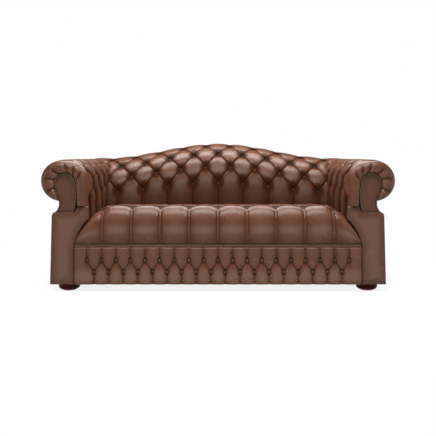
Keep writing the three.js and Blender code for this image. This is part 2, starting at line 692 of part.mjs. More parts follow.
// The foam fills the cover down to the sheet over the springs.
function seatFoam() {
  const rings = seatPlaces.map((x) => {
    const top = seatInnerLine(x, GAP);
    const below = [top[top.length - 1], top[0]].map((p) => new THREE.Vector3(x, p.y, 0));
    return [...top, ...below];
  });
  const rear = SEAT_REAR_DEPTH - GAP;
  const bottom = archLine(springFront, rear, sheetLift + SHEET_THICK + 2 * GAP);
  const outline = [...bottom, v2(rear, SEAT_CREST), v2(springFront, SEAT_CREST)];
  const room = crossBoard(outline, -SHEET_HALF, SHEET_HALF);
  return toGeometry(toSolid(loft(rings, alongX, seatHeart)).intersect(toSolid(room)));
}

add("seat_cover", seatCover(), LEATHER);
add("seat_foam", seatFoam(), FOAM);
add("spring_cover", crossBoard(sheetOutline, -SHEET_HALF, SHEET_HALF), CLOTH);
add("seat_spring_unit", springUnit(), STEEL);

// Back: its buttoned face leans and curls over into the roll, whose top follows the camel's arch
const backPath = pathOf(
  new THREE.CubicBezierCurve(
    v2(BACK_FOOT_DEPTH, BACK_FOOT_Z),
    v2(BACK_LEAN_DEPTH, BACK_LEAN_Z),
    v2(BACK_CURL_DEPTH, BACK_CURL_Z),
    v2(ROLL_BACK_DEPTH, BACK_PEAK),
  ),
  rollArc(ROLL_BACK_DEPTH, BACK_PEAK - ROLL_RADIUS),
);
const backLength = backPath.getLength();
const backFaceLength = backPath.curves[0].getLength();
const backHeart = v2(atDepth(ROLL_BACK_DEPTH), BACK_SHOULDER - ROLL_RADIUS);
const backLastRow = BACK_FIRST_ROW + BACK_ROW_STEP * (BACK_ROWS - 1);

function backDrop(x) {
  const share = clamp01(Math.abs(x) / BACK_ARCH_HALF);
  return (BACK_PEAK - BACK_SHOULDER) * Math.sin((Math.PI / 2) * share) ** 2;
}

// The rows sink with the arch: little at the foot, fully at the roll.
function backPoint(x, length, p, drop) {
  const climbed = clamp01((p.y - BACK_FOOT_Z) / (BACK_PEAK - BACK_FOOT_Z));
  const share = length < backFaceLength ? climbed ** BACK_DROP_POWER : 1;
  return new THREE.Vector3(x, atDepth(p.x), p.y - drop * share);
}

const backLengths = rowLengths(BACK_FIRST_ROW, BACK_ROW_STEP, BACK_ROWS, backLength, 4, 6);
const backInnerLengths = [
  0, ...spread(BACK_FIRST_ROW / 2, backFaceLength, 3), ...spread(backFaceLength, backLength, 4).slice(1),
];
const backEnd = BODY_HALF + OVERRUN;
const backStops = range(Math.floor(BODY_HALF / BUTTON_PITCH) + 1, (pitch) => pitch * BUTTON_PITCH);
backStops.push(backEnd);

function backRing(x) {
  const s = x / BUTTON_PITCH;
  const last = (BACK_ROWS - 1) / 2;
  const outer = backLengths.map((length) => {
    const t = (length - BACK_FIRST_ROW) / (2 * BACK_ROW_STEP);
    const over = clamp01((length - backLastRow) / (backLength - backLastRow));
    const fade = 1 - (1 - ROLL_SWELL / PUFF) * Math.sqrt(over);
    const p = pointOn(backPath, length, relief(s, t, last, fade));
    return backPoint(x, length, p, backDrop(x));
  });
  return [...outer, ...backLayerLine(x, COVER_THICK).reverse()];
}

function backLayerLine(x, inside) {
  const drop = throughStops(backStops, x, backDrop);
  return backInnerLengths.map((length) => backPoint(x, length, pointOn(backPath, length, -inside), drop));
}

const backCellPlaces = (() => {
  const cells = Math.floor(backEnd / CELL);
  return spread(-cells * CELL, cells * CELL, 2 * cells);
})();
const backStopPlaces = [...backStops.slice(1).reverse().map((x) => -x), ...backStops];

// What lies inside the back at some offset from the fold lines, open downwards when it is to cut.
function backCore(places, offset, cuts) {
  const rings = places.map((x) => {
    const ring = backLayerLine(x, offset);
    if (!cuts) return ring;
    const below = [ring[ring.length - 1], ring[0]].map((p) => new THREE.Vector3(x, p.y, p.z - 2 * OVERRUN));
    return [...ring, ...below];
  });
  return toSolid(loft(rings, alongX, backHeart));
}

const backRegion = (() => {
  const inner = ARM_SPLIT_X - 2 * GAP;
  const corner = inner - MITRE_OFFSET + GAP;
  const far = mitreFar - MITRE_OFFSET + GAP;
  return planPrism([
    [-inner, 0], [inner, 0], [inner, corner], [mitreFar, far], [mitreFar, far + OVERRUN],
    [-mitreFar, far + OVERRUN], [-mitreFar, far], [-inner, corner],
  ]);
})();

function backCover() {
  return toGeometry(toSolid(loft(backCellPlaces.map(backRing), alongX, backHeart)).intersect(backRegion));
}

function backLayer(places, outside, inside) {
  const layer = backCore(places, outside, false).subtract(backCore(backStopPlaces, inside, true));
  return toGeometry(layer.intersect(backRegion));
}

add("back_cover", backCover(), LEATHER);
add("back_foam", backLayer(backCellPlaces, FOAM_OUT, FOAM_IN), FOAM);
add("back_lining", backLayer(backStopPlaces, LINING_OUT, LINING_IN), BOARDING);

// Front border: pleats run up from the upper buttons and down from the lower ones
function borderRelief(x, z) {
  const s = x / BORDER_PITCH;
  const t = (BORDER_UPPER_Z - z) / (2 * (BORDER_UPPER_Z - BORDER_LOWER_Z));
  const buttoned = clamp01((((borderUpperCount + 1) / 2) * BORDER_PITCH - Math.abs(x)) / (BORDER_PITCH / 2));
  return BORDER_PUFF * lerp(1, tuft(s, t, 1 / 2), buttoned);
}

function frontBorder() {
  const cells = Math.floor(BORDER_HALF / (BORDER_PITCH / 4));
  const half = (cells * BORDER_PITCH) / 4;
  const places = [-BORDER_HALF, ...spread(-half, half, 2 * cells), BORDER_HALF];
  const middle = (BORDER_UPPER_Z + BORDER_LOWER_Z) / 2;
  const heights = [
    FLOOR_GAP, FLOOR_GAP + BORDER_PUFF, BORDER_LOWER_Z, middle, BORDER_UPPER_Z, BORDER_TOP - BORDER_PUFF, BORDER_TOP,
  ];
  const rings = places.map((x) => {
    const front = heights.map((z) => {
      const edge = z === FLOOR_GAP || z === BORDER_TOP || Math.abs(x) === BORDER_HALF;
      return new THREE.Vector3(x, atDepth(BORDER_FRONT - (edge ? 0 : borderRelief(x, z))), z);
    });
    const back = [BORDER_TOP, FLOOR_GAP].map((z) => new THREE.Vector3(x, atDepth(BORDER_BACK), z));
    return [...front, ...back];
  });
  return loft(rings, alongX, v2(atDepth(BORDER_BACK), middle));
}

add("front_border", frontBorder(), LEATHER);

function bar(radius, half, depth, z, sides = 8) {
  const geometry = new THREE.CylinderGeometry(radius, radius, 2 * half, sides);
  return geometry.rotateZ(Math.PI / 2).translate(0, atDepth(depth), z);
}

const weltZ = BORDER_TOP + GAP + WELT_RADIUS;
add("seat_welt", bar(WELT_RADIUS, BORDER_HALF, BORDER_FRONT, weltZ), LEATHER);
const trimBottom = weltZ + WELT_RADIUS + GAP;
const trimDepth = SEAT_NAIL_DEPTH - NAIL_BED;
add(
  "seat_nail_trim",
  box(-SEAT_END, trimDepth - NAIL_PROUD, trimBottom, SEAT_END, trimDepth, NAIL_Z + NAIL_BAND / 2),
  BRASS,
);

// Arm front panels: under the facing, with a free edge along the end of the seat
function armPanelShape() {
  const shape = new THREE.Shape();
  const inner = SEAT_HALF + PANEL_SEAT_CLEAR;
  const top = FACING_FOOT_Z - GAP;
  shape.moveTo(inner, FLOOR_GAP);
  shape.lineTo(BODY_HALF, FLOOR_GAP);
  shape.lineTo(BODY_SHOULDER_X, BODY_SHOULDER_Z - BODY_SHOULDER_ROUND);
  shape.quadraticCurveTo(BODY_SHOULDER_X, top, BODY_SHOULDER_X - BODY_SHOULDER_ROUND, top);
  shape.lineTo(FACING_INNER_FOOT_X - GAP, top);
  shape.lineTo(FACING_INNER_SIDE_X - GAP, ARM_SEAM_Z - GAP);
  const seatEdge = (x) => v2(x + PANEL_SEAT_CLEAR, NAIL_Z + seatRise * seatFall(x) + PANEL_SEAT_CLEAR);
  const places = spread(ARM_SPLIT_X, SEAT_END, 7);
  shape.lineTo(places[0] + PANEL_SEAT_CLEAR, ARM_SEAM_Z - GAP);
  places.forEach((x) => shape.lineTo(seatEdge(x).x, seatEdge(x).y));
  shape.lineTo(inner, NAIL_Z);
  return shape;
}
addPair("arm_front_panel", board(armPanelShape(), PANEL_FRONT, FRONT_BACKING, PANEL_EDGE, 3), LEATHER);

// Outside of the arms and back
function outsideArm(thickness, front, outwards) {
  const top = ROLL_ARM_Z - ROLL_RADIUS - ROLL_SWELL - 2 * GAP;
  const shoulder = FACING_FOOT_Z - GAP;
  const outer = [
    v2(OUTSIDE_NECK_X, top),
    v2(FACING_OUTER_FOOT_X, shoulder + BODY_SHOULDER_ROUND / 2),
    v2(BODY_SHOULDER_X - BODY_SHOULDER_ROUND / 2, shoulder),
    v2(BODY_SHOULDER_X, BODY_SHOULDER_Z - BODY_SHOULDER_ROUND),
    v2(BODY_HALF, FLOOR_GAP),
  ];
  const inner = outer.map((p) => v2(p.x - thickness, p.y)).reverse();
  const line = [...outer.map((p) => v2(p.x + outwards, p.y)), ...inner];
  const ends = [0, line.length - 1];
  const rings = [front, OUTSIDE_BACK_DEPTH + OUTSIDE_THICK].map((depth) =>
    line.map((p, i) => armPoint(depth, p, ends.includes(i) ? 1 : 0)),
  );
  return loft(rings, alongY, armHeart);
}
addPair("outside_arm", outsideArm(OUTSIDE_THICK, FRONT_BACKING + GAP, 0), LEATHER);

function outsideBack() {
  const half = OUTSIDE_NECK_X - OUTSIDE_THICK - GAP;
  const rear = BODY_SHOULDER_X - 2 * OUTSIDE_THICK;
  const top = (x) => BACK_PEAK - backDrop(x) - 2 * ROLL_RADIUS - ROLL_SWELL - GAP;
  const shoulder = BODY_SHOULDER_Z - BODY_SHOULDER_ROUND;
  const shape = new THREE.Shape([v2(-rear, FLOOR_GAP), v2(rear, FLOOR_GAP), v2(rear, shoulder)]);
  shape.lineTo(half, BODY_SHOULDER_Z);
  spread(half, -half, ARCH_STEPS).forEach((x) => shape.lineTo(x, top(x)));
  shape.lineTo(-half, BODY_SHOULDER_Z);
  shape.lineTo(-rear, shoulder);
  return board(shape, OUTSIDE_BACK_DEPTH + GAP, OUTSIDE_BACK_DEPTH + OUTSIDE_THICK);
}
add("outside_back", outsideBack(), LEATHER);

// Frame: seat rails
const sideInner = SIDE_RAIL_OUTER - BOARD;
const baseRailDepth = OUTSIDE_BACK_DEPTH - BOARD;
add(
  "front_seat_rail",
  box(-SEAT_HALF, FRONT_RAIL_DEPTH, RAIL_BOTTOM, SEAT_HALF, FRONT_RAIL_DEPTH + BOARD, RAIL_TOP),
  BEECH,
);
add(
  "rear_seat_rail",
  box(-sideInner + GAP, REAR_RAIL_DEPTH, BASE_RAIL_TOP, sideInner - GAP, REAR_RAIL_DEPTH + BOARD, RAIL_TOP),
  BEECH,
);
add(
  "back_base_rail",
  box(-SIDE_RAIL_OUTER, baseRailDepth, RAIL_BOTTOM, SIDE_RAIL_OUTER, OUTSIDE_BACK_DEPTH, BASE_RAIL_TOP),
  BEECH,
);
addPair(
  "side_rail",
  box(sideInner, boardRear + GAP, RAIL_BOTTOM, SIDE_RAIL_OUTER, baseRailDepth - GAP, RAIL_TOP),
  BEECH,
);
add(
  "centre_cross_rail",
  box(-BOARD / 2, FRONT_RAIL_DEPTH + BOARD + GAP, CROSS_RAIL_BOTTOM, BOARD / 2, REAR_RAIL_DEPTH - GAP, CROSS_RAIL_TOP),
  BEECH,
);

// Frame: arm boards and rails
function frontArmBoard() {
  const head = toSolid(board(facingShape(2 * GAP), FRONT_BOARD_DEPTH, boardRear, 0, 10));
  const foot = box(
    SEAT_HALF + GAP, FRONT_BOARD_DEPTH, RAIL_BOTTOM, SIDE_RAIL_OUTER, boardRear, BODY_SHOULDER_Z - BODY_SHOULDER_ROUND,
  );
  const neck = box(
    FACING_INNER_FOOT_X + PANEL_EDGE, FRONT_BOARD_DEPTH, RAIL_TOP,
    FACING_OUTER_FOOT_X - PANEL_EDGE, boardRear, ARM_SEAM_Z,
  );
  const outside = toSolid(outsideArm(OUTSIDE_THICK + GAP, 0, OVERRUN));
  return toGeometry(head.add(toSolid(foot)).add(toSolid(neck)).subtract(outside));
}

function rearArmBoard() {
  const rear = REAR_BOARD_DEPTH + BOARD;
  const right = ROLL_ARM_X + ROLL_RADIUS;
  const upper = box(ARM_INNER_X, REAR_BOARD_DEPTH, TACKING_Z, right, rear, ROLL_ARM_Z + 2 * ROLL_RADIUS);
  const inner = ARM_INNER_X + FRAME_OUT;
  const lower = box(inner, REAR_BOARD_DEPTH, BASE_RAIL_TOP, sideInner - GAP, rear, TACKING_Z + TACKING_HEIGHT);
  const outside = toSolid(outsideArm(OUTSIDE_THICK + GAP, 0, OVERRUN));
  return toGeometry(toSolid(upper).intersect(armCore(FRAME_OUT, false)).add(toSolid(lower)).subtract(outside));
}

// The rail lies inside both the scroll and the keyhole head, which it joins.
function armTopRail() {
  const rings = [boardRear + GAP, REAR_BOARD_DEPTH - GAP].map((depth) =>
    [[-1, -1], [1, -1], [1, 1], [-1, 1]].map(([side, level]) =>
      armPoint(depth, v2(TOP_RAIL_X + side * TOP_RAIL_HALF, TOP_RAIL_Z + level * TOP_RAIL_HALF), 1),
    ),
  );
  return loft(rings, alongY, armHeart);
}

addPair("front_arm_board", frontArmBoard(), BEECH);
addPair("rear_arm_board", rearArmBoard(), BEECH);
addPair("arm_top_rail", armTopRail(), BEECH);
const armTackingX = ARM_INNER_X + FRAME_OUT;
addPair(
  "arm_tacking_rail",
  box(
    armTackingX, boardRear + GAP, TACKING_Z, armTackingX + TACKING_THICK, REAR_BOARD_DEPTH - GAP,
    TACKING_Z + TACKING_HEIGHT,
  ),
  BEECH,
);

// Frame: back. Every piece is trimmed to the hollow of the lining.
const backHollow = backCore(backStopPlaces, FRAME_OUT, true);
const trimmed = (geometry) => toGeometry(toSolid(geometry).intersect(backHollow));

function backTopRail() {
  const half = ROLL_ARM_X - ROLL_RADIUS;
  const centre = (x) => BACK_PEAK - ROLL_RADIUS - throughStops(backStops, x, backDrop);
  const inside = backStops.filter((x) => x < half);
  const places = [-half, ...inside.slice(1).reverse().map((x) => -x), ...inside, half];
  const outline = [
    ...places.map((x) => v2(x, centre(x) - BACK_RAIL_DROP)),
    ...places.map((x) => v2(x, centre(x) + ROLL_RADIUS)).reverse(),
  ];
  return trimmed(board(new THREE.Shape(outline), BACK_RAIL_DEPTH, BACK_RAIL_DEPTH + BOARD));
}

// A rib carries the lining of the inside back; its rear edge stands against the top rail.
function backRib(x) {
  const rear = BACK_RAIL_DEPTH - GAP;
  const foot = springRear + PANEL_SEAT_CLEAR;
  const behindTacking = BACK_FOOT_DEPTH + FRAME_OUT + TACKING_THICK + GAP;
  const overTacking = TACKING_Z + TACKING_HEIGHT + GAP;
  const outline = [
    v2(foot, RAIL_TOP + 2 * SPRING_ARCH), v2(foot, RAIL_TOP + GAP), v2(rear, RAIL_TOP + GAP), v2(rear, BACK_PEAK),
    v2(BACK_FOOT_DEPTH, BACK_PEAK), v2(BACK_FOOT_DEPTH, overTacking), v2(behindTacking, overTacking),
    v2(behindTacking, TACKING_Z),
  ];
  return trimmed(crossBoard(outline, x - BOARD / 2, x + BOARD / 2));
}

function backUpright() {
  const bottom = BASE_RAIL_TOP + GAP;
  const low = throughStops(backStops, UPRIGHT_X + UPRIGHT_WIDTH / 2, backDrop);
  const top = BACK_PEAK - ROLL_RADIUS - low - BACK_RAIL_DROP - GAP;
  return box(
    UPRIGHT_X - UPRIGHT_WIDTH / 2, BACK_RAIL_DEPTH, bottom, UPRIGHT_X + UPRIGHT_WIDTH / 2, BACK_RAIL_DEPTH + BOARD, top,
  );
}

add("back_top_rail", backTopRail(), BEECH);
addPair("back_upright", backUpright(), BEECH);
add("back_rib_L", backRib(-UPRIGHT_X), BEECH);
add("back_rib_centre", backRib(0), BEECH);
add("back_rib_R", backRib(UPRIGHT_X), BEECH);
const backTackingDepth = BACK_FOOT_DEPTH + FRAME_OUT;
const backTackingHalf = ARM_SPLIT_X - 2 * GAP;
const backTacking = box(
  -backTackingHalf, backTackingDepth - TACKING_THICK, TACKING_Z, backTackingHalf, backTackingDepth + TACKING_THICK,
  TACKING_Z + TACKING_HEIGHT,
);
add("back_tacking_rail", trimmed(backTacking), BEECH);

// Feet, their bolts and the blocks that hold them
function foot(depth) {
  const top = FLOOR_GAP - GAP;
  const profile = [
    v2(0, 0),
    ...FOOT_OUTLINE.map((p) => v2(lerp(FOOT_BASE_RADIUS, FOOT_RADIUS, p.widthShare), top * p.heightShare)),
    v2(FOOT_TOP_RADIUS, top),
    v2(BOLT_RADIUS + GAP, top),
    v2(BOLT_RADIUS + GAP, BOLT_BOTTOM - GAP),
    v2(0, BOLT_BOTTOM - GAP),
  ];
  return new THREE.LatheGeometry(profile, 16).rotateX(Math.PI / 2).translate(FOOT_X, atDepth(depth), 0);
}

function bolt(depth) {
  const length = BOLT_TOP - BOLT_BOTTOM;
  const rod = new THREE.CylinderGeometry(BOLT_RADIUS, BOLT_RADIUS, length, 10).rotateX(Math.PI / 2);
  return rod.translate(FOOT_X, atDepth(depth), BOLT_BOTTOM + length / 2);
}

function cornerBlock(depth0, depth1, boltDepth) {
  const block = box(BLOCK_INNER_X, depth0, RAIL_BOTTOM, sideInner - GAP, depth1, RAIL_BOTTOM + BLOCK_HEIGHT);
  const radius = BOLT_RADIUS + GAP;
  const height = BOLT_TOP + GAP;
  const bore = new THREE.CylinderGeometry(radius, radius, height, 10).rotateX(Math.PI / 2);
  bore.translate(FOOT_X, atDepth(boltDepth), height / 2);
  return toGeometry(toSolid(block).subtract(toSolid(bore)));
}

const corners = [
  { name: "front", depth: FOOT_FRONT_DEPTH, block0: boardRear + GAP, block1: boardRear + GAP + BLOCK_LENGTH },
  { name: "rear", depth: FOOT_REAR_DEPTH, block0: baseRailDepth - GAP - BLOCK_LENGTH, block1: baseRailDepth - GAP },
];
for (const corner of corners) {
  addPair("foot_" + corner.name, foot(corner.depth), MAHOGANY);
  addPair("foot_bolt_" + corner.name, bolt(corner.depth), STEEL);
  addPair("corner_block_" + corner.name, cornerBlock(corner.block0, corner.block1, corner.depth), BEECH);
}

// Dust cover under the frame, with a hole for each bolt
function dustCover() {
  const half = SIDE_RAIL_OUTER;
  const front = FRONT_BOARD_DEPTH;
  const shape = new THREE.Shape([
    v2(-half, atDepth(front)), v2(half, atDepth(front)),
    v2(half, atDepth(OUTSIDE_BACK_DEPTH)), v2(-half, atDepth(OUTSIDE_BACK_DEPTH)),
  ]);
  for (const side of [-1, 1]) {
    for (const corner of corners) {
      const hole = new THREE.Path();
      hole.absarc(side * FOOT_X, atDepth(corner.depth), BOLT_RADIUS + 2 * GAP, 0, 2 * Math.PI, true);
      shape.holes.push(hole);
    }
  }
  const sheet = new THREE.ExtrudeGeometry(shape, { depth: SHEET_UNDER, bevelEnabled: false, curveSegments: 10 });
  return sheet.translate(0, 0, RAIL_BOTTOM - GAP - SHEET_UNDER);
}
add("dust_cover", dustCover(), CLOTH);

export default sofa;
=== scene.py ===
# Camelback sofa in deep-buttoned leather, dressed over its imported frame.
# Metres. X runs along the width, the front faces -Y, Z is up and the floor lies at Z = 0.
# Depths are measured backwards from the front of the arm scrolls, as in the part's source.
import json
import math
from bisect import bisect_left

import bmesh
import bpy
from mathutils import Matrix, Vector, noise
from mathutils.geometry import delaunay_2d_cdt


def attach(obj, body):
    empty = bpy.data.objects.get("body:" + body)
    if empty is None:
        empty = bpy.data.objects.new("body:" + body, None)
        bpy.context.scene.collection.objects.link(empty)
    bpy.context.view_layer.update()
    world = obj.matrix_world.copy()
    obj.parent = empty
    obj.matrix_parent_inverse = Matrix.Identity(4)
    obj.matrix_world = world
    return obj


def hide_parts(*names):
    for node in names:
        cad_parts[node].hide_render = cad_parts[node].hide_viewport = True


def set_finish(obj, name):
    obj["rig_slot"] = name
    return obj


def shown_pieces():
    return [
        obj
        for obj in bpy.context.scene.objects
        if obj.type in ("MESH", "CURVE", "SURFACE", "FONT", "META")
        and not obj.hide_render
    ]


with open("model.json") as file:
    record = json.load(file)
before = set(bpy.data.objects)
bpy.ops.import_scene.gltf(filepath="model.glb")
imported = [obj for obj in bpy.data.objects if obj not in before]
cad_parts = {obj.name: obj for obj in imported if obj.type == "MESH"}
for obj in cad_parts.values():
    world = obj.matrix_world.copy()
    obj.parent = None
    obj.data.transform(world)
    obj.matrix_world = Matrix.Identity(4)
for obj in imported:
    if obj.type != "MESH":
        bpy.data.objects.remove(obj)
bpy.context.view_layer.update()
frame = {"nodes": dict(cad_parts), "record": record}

FRONT_Y = -0.465
FORWARDS = Vector((0, -1, 0))

# Buttoning
PITCH = 0.163
CELLS = 40  # cells per pitch, so the folds run along the grid's diagonals
CELL = PITCH / CELLS
PUFF = 0.026
TUCK = 0.009  # how far the pulled-down leather lies under the section's line
SINK = 0.007  # how much further a button pulls it down
SAT_FLAT = 0.42  # share of the seat's relief that sitting has pressed out
FOLD_FULL = 0.36  # share of a puff's height that its folds keep between two buttons
BUTTON_RADIUS = 0.0105
BUTTON_PROUD = 0.0022  # a button's centre over the leather that it pulls down
BUTTON_HEIGHT = 0.55  # of a dome, in radii
BUTTON_ROOM = 0.012  # no button lies closer to a seam
WALL = 0.026  # leather and wadding at the folds
CLEARANCE = 0.0003

# Scroll roll
ROLL_RADIUS = 0.112
ROLL_SWELL = 0.002  # the cover stands this far over the roll where no puff lifts it
ROLL_X = 0.886
ROLL_Z = 0.621
ROLL_BACK_DEPTH = 0.816
ROLL_END = math.radians(-83)
ARM_RISE = 0.024
MITRE = ROLL_X - ROLL_BACK_DEPTH

# Arms
ARM_X = 0.742
ARM_FOOT_Z = 0.380
ARM_BEND_Z = 0.640
ARM_STEP = 0.0815
ARM_FIRST_Z = 0.522
ARM_FIRST_DEPTH = 0.088
ARM_LAST = 1.5
ARM_INNER_X = ARM_X - 0.0148  # no puff reaches further in
ARM_COVERED_DEPTH = 0.86
ROLL_TOP = 0.10  # length beyond the last buttons in which the puffs calm down over the roll
ROLL_CALM = 0.68  # share of a puff that they lose there
SEAM_Z = 0.480
NOSE = 0.040  # depth over which the padding round the facing opens to the full roll
NOSE_INNER = 0.017
NOSE_START = 0.47  # share of the way from the facing's edge to the roll at the very front
PLEAT_ANGLES = (-24, 13, 43, 84, 112, 139)  # round the head of the facing
PLEAT_DEPTH = 0.0062
PLEAT_PUFF = 0.0035
PLEAT_LEAN = 1.6  # how much deeper a pleat cuts where the leather faces forwards
PLEAT_DARK = 150  # how fast painted shade darkens a pleat with its depth

# Facings
HEAD = Vector((0.860, 0.606))
HEAD_RADIUS = 0.062
FACING_SIDE_X = 0.791
FACING_FOOT_Z = 0.446
FACING_DEPTH = 0.014
BACKING = 0.036  # depth at which the front boards end and the arm's leather may show

# Front panels and outside
PANEL_INNER = 0.8071
PANEL_TOP = FACING_FOOT_Z - CLEARANCE
LEDGE_Z = SEAM_Z - CLEARANCE
BODY_HALF = 0.944
SHOULDER_X = 0.9352
OUTSIDE_START = BACKING + CLEARANCE
OUTSIDE_END = 0.844
FLOOR_GAP = 0.040
FOOT_X = 0.851
FOOT_DEPTHS = {"front": 0.082, "rear": 0.762}

# Seat
SEAT_HALF = 0.805
SEAT_END = 0.800
SEAT_FLAT = 0.600
NAIL_Z = 0.262
SEAT_CREST = 0.4735  # of the folds; the puffs stand over it
SEAT_NOSE_DEPTH = 0.008
SEAT_NOSE_Z = 0.377
SEAT_ROUND = 0.080
SEAT_STEP = 0.0815
SEAT_FIRST = 0.218
SEAT_LAST = 2.0
SEAT_NAILED = 0.009  # length of the strip that the nails hold flat
SPLIT_X = 0.7340  # the seat and the back fill the space between the arms up to here

# Back
BACK_PEAK = 0.863
BACK_SHOULDER = 0.762
BACK_ARCH = 0.800
BACK_FOOT_Z = 0.380
BACK_STEP = 0.122
BACK_FIRST = 0.232
BACK_LAST = 1.5
BACK_DROP_POWER = 0.6

# Front border
BORDER_HALF = 0.8065
BORDER_TOP = 0.250
BORDER_FRONT = 0.012
BORDER_BACK = 0.030
BORDER_PUFF = 0.0095
BORDER_PITCH = 0.0817
BORDER_UPPER = 0.176
BORDER_LOWER = 0.112
BORDER_UPPER_COUNT = 19

# Trim
NAIL_PITCH = 0.0113
NAIL_RADIUS = 0.0049
NAIL_HEIGHT = 0.62  # of a dome, in radii
NAIL_ROW_HALF = 0.797
SMALL_NAIL = 0.62  # its size as a share of the others'
SMALL_NAIL_PITCH = 0.0085
WELT_Z = 0.2543
WELT_RADIUS = 0.004
WELT_SIDES = 12
WELT_HALF = 0.803

# Looks
SHINE = 0.22  # of the leather
ROUGH = 0.17
WORLD_LEVEL = 0.115  # of the surroundings' light, where nothing looks straight at them
FLOOR_WHITE = 0.86  # share of plain white in the floor near the sofa

SECTION_STEPS = 400  # straight bits per curve of a section


def clamp(value, low=0.0, high=1.0):
    return min(max(value, low), high)


def lerp(a, b, share):
    return a + (b - a) * share


def smooth(share):
    share = clamp(share)
    return share * share * (3 - 2 * share)


def rounded(share):
    """The height of a quarter circle at a share of its width."""
    share = clamp(share)
    return math.sqrt(share * (2 - share))


def at_depth(depth):
    return FRONT_Y + depth


# Sections: curves in two dimensions, walked by length, with the outside on their left


def bezier(*points):
    """A curve that its points draw towards them; two points give a straight line."""
    points = [Vector(p) for p in points]

    def at(t):
        row = points
        while len(row) > 1:
            row = [a.lerp(b, t) for a, b in zip(row, row[1:])]
        return row[0]

    return at


def arc(centre, radii, start, end):
    def at(t):
        angle = lerp(start, end, t)
        return Vector((centre[0] + radii[0] * math.cos(angle), centre[1] + radii[1] * math.sin(angle)))

    return at


class Section:
    def __init__(self, *curves):
        self.points = [curves[0](0)]
        for curve in curves:
            self.points += [curve((i + 1) / SECTION_STEPS) for i in range(SECTION_STEPS)]
        self.lengths = [0.0]
        for a, b in zip(self.points, self.points[1:]):
            self.lengths.append(self.lengths[-1] + (b - a).length)
        self.whole = self.lengths[-1]

    def point(self, length):
        length = clamp(length, 0, self.whole)
        i = clamp(bisect_left(self.lengths, length), 1, len(self.points) - 1)
        span = self.lengths[i] - self.lengths[i - 1]
        share = (length - self.lengths[i - 1]) / span if span else 0
        return self.points[i - 1].lerp(self.points[i], share)

    def at(self, length, outwards=0.0):
        step = self.whole / SECTION_STEPS
        tangent = (self.point(length + step) - self.point(length - step)).normalized()
        return self.point(length) + outwards * Vector((-tangent.y, tangent.x))


# Buttoned leather: a puff rises steeply above each fold and slopes gently down to the next one


def strip(value):
    part = value - math.floor(value + 1e-7)
    return math.sin(math.pi * clamp(part) ** 0.84)


def tuft(s, t, last):
    t = clamp(t, 0, last)
    return math.sqrt(max(strip(s + t) * strip(t - s), 0))


def button_near(s, t, last):
    """The distance in pitches to the nearest button, whose s + t and t - s are whole."""
    best = 9.0
    for row in range(int(round(2 * last)) + 1):
        button_t = row / 2
        button_s = round(s - button_t) + button_t
        best = min(best, math.hypot(s - button_s, t - button_t))
    return best


def fuller(place, seed):
    """Slow unevenness of hand-stuffed padding."""
    return 0.16 * noise.noise(Vector(place) * 5.5 + Vector((seed, 0, 0)))


def hollow(near, radius=0.30):
    """0 on a button, 1 where its pull ends."""
    return math.sin(math.pi / 2 * clamp(near / radius)) ** 0.75


def puff(rise, near, fade, full=1.0):
    """Padding that stays half full along its folds and is pulled down at the buttons."""
    lift = PUFF * full * hollow(near) * lerp(FOLD_FULL, 1, rise)
    return fade * (lift - TUCK) - SINK * (1 - hollow(near, 0.09)) * (0.4 + 0.6 * clamp(fade))


def relief(s, t, last, fade, place, seed):
    near = button_near(s, t, last)
    rise = tuft(s, t, last)
    return puff(rise, near, fade, 1 + fuller(place, seed)), rise, near


# Mesh building

# What the finishes read at each vertex: how near a button is, in pitches, how high the place stands between fold and
# crown, and how much painted shade it holds.
LAYERS = ("near", "rise", "shade")
HIDDEN = (1, 0.5, 0)
SHARP_ANGLE = math.radians(38)


def add_object(name, data):
    made = bpy.data.objects.new(name, data)
    bpy.context.scene.collection.objects.link(made)
    return made


def new_piece(name, bm, replaces=(), slot="leather"):
    bmesh.ops.recalc_face_normals(bm, faces=bm.faces)
    for face in bm.faces:
        face.smooth = True
    mesh = bpy.data.meshes.new(name)
    bm.to_mesh(mesh)
    bm.free()
    mesh.set_sharp_from_angle(angle=SHARP_ANGLE)
    piece = add_object(name, mesh)
    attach(piece, "root")
    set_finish(piece, slot)
    if replaces:
        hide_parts(*replaces)


def value_layers(bm):
    return [bm.verts.layers.float.new(name) for name in LAYERS]


def set_values(vert, layers, values):
    for layer, value in zip(layers, values):
        vert[layer] = value


def close_ends(bm):
    bmesh.ops.holes_fill(bm, edges=[e for e in bm.edges if e.is_boundary], sides=0)


def crease(bm):
    """Splits each four-sided face that a fold crosses along that fold."""
    rise = bm.verts.layers.float["rise"]
    for face in [f for f in bm.faces if len(f.verts) == 4]:
        low = [v for v in face.verts if v[rise] < 1e-3]
        if len(low) == 2 and not any(low[0] in e.verts and low[1] in e.verts for e in face.edges):
            bmesh.utils.face_split(face, low[0], low[1])


def pair(name, bm, replaces=(), slot="leather"):
    """The same form at +X, side R, and at -X, side L."""
    mirrored = bm.copy()
    bmesh.ops.scale(mirrored, vec=(-1, 1, 1), verts=mirrored.verts)
    for side, form in (("L", mirrored), ("R", bm)):
        nodes = [node + "_" + side for node in replaces]
        new_piece(name + "_" + side, form, nodes, slot)


def steps(start, end, size):
    count = max(round((end - start) / size), 1)
    return [lerp(start, end, i / count) for i in range(count + 1)]


def chained(*stops):
    """Steps from stop to stop, with the size of each stretch given between its two stops."""
    places = [stops[0]]
    for start, size, end in zip(stops[::2], stops[1::2], stops[2::2]):
        places += steps(start, end, size)[1:]
    return places


def across(half, size):
    """Places from side to side at even steps from the middle, with a last one at each end."""
    count = math.floor(half / size)
    return [-half] + [k * size for k in range(-count, count + 1)] + [half]


def section_ring(section, outer, inner, surface, inside):
    """Once round a cover's section: out along its surface, and back along its inside."""
    return [
        (maker, length, section.point(length), section.at(length, 1) - section.point(length))
        for lengths, maker in ((outer, surface), (inner, inside))
        for length in lengths
    ]


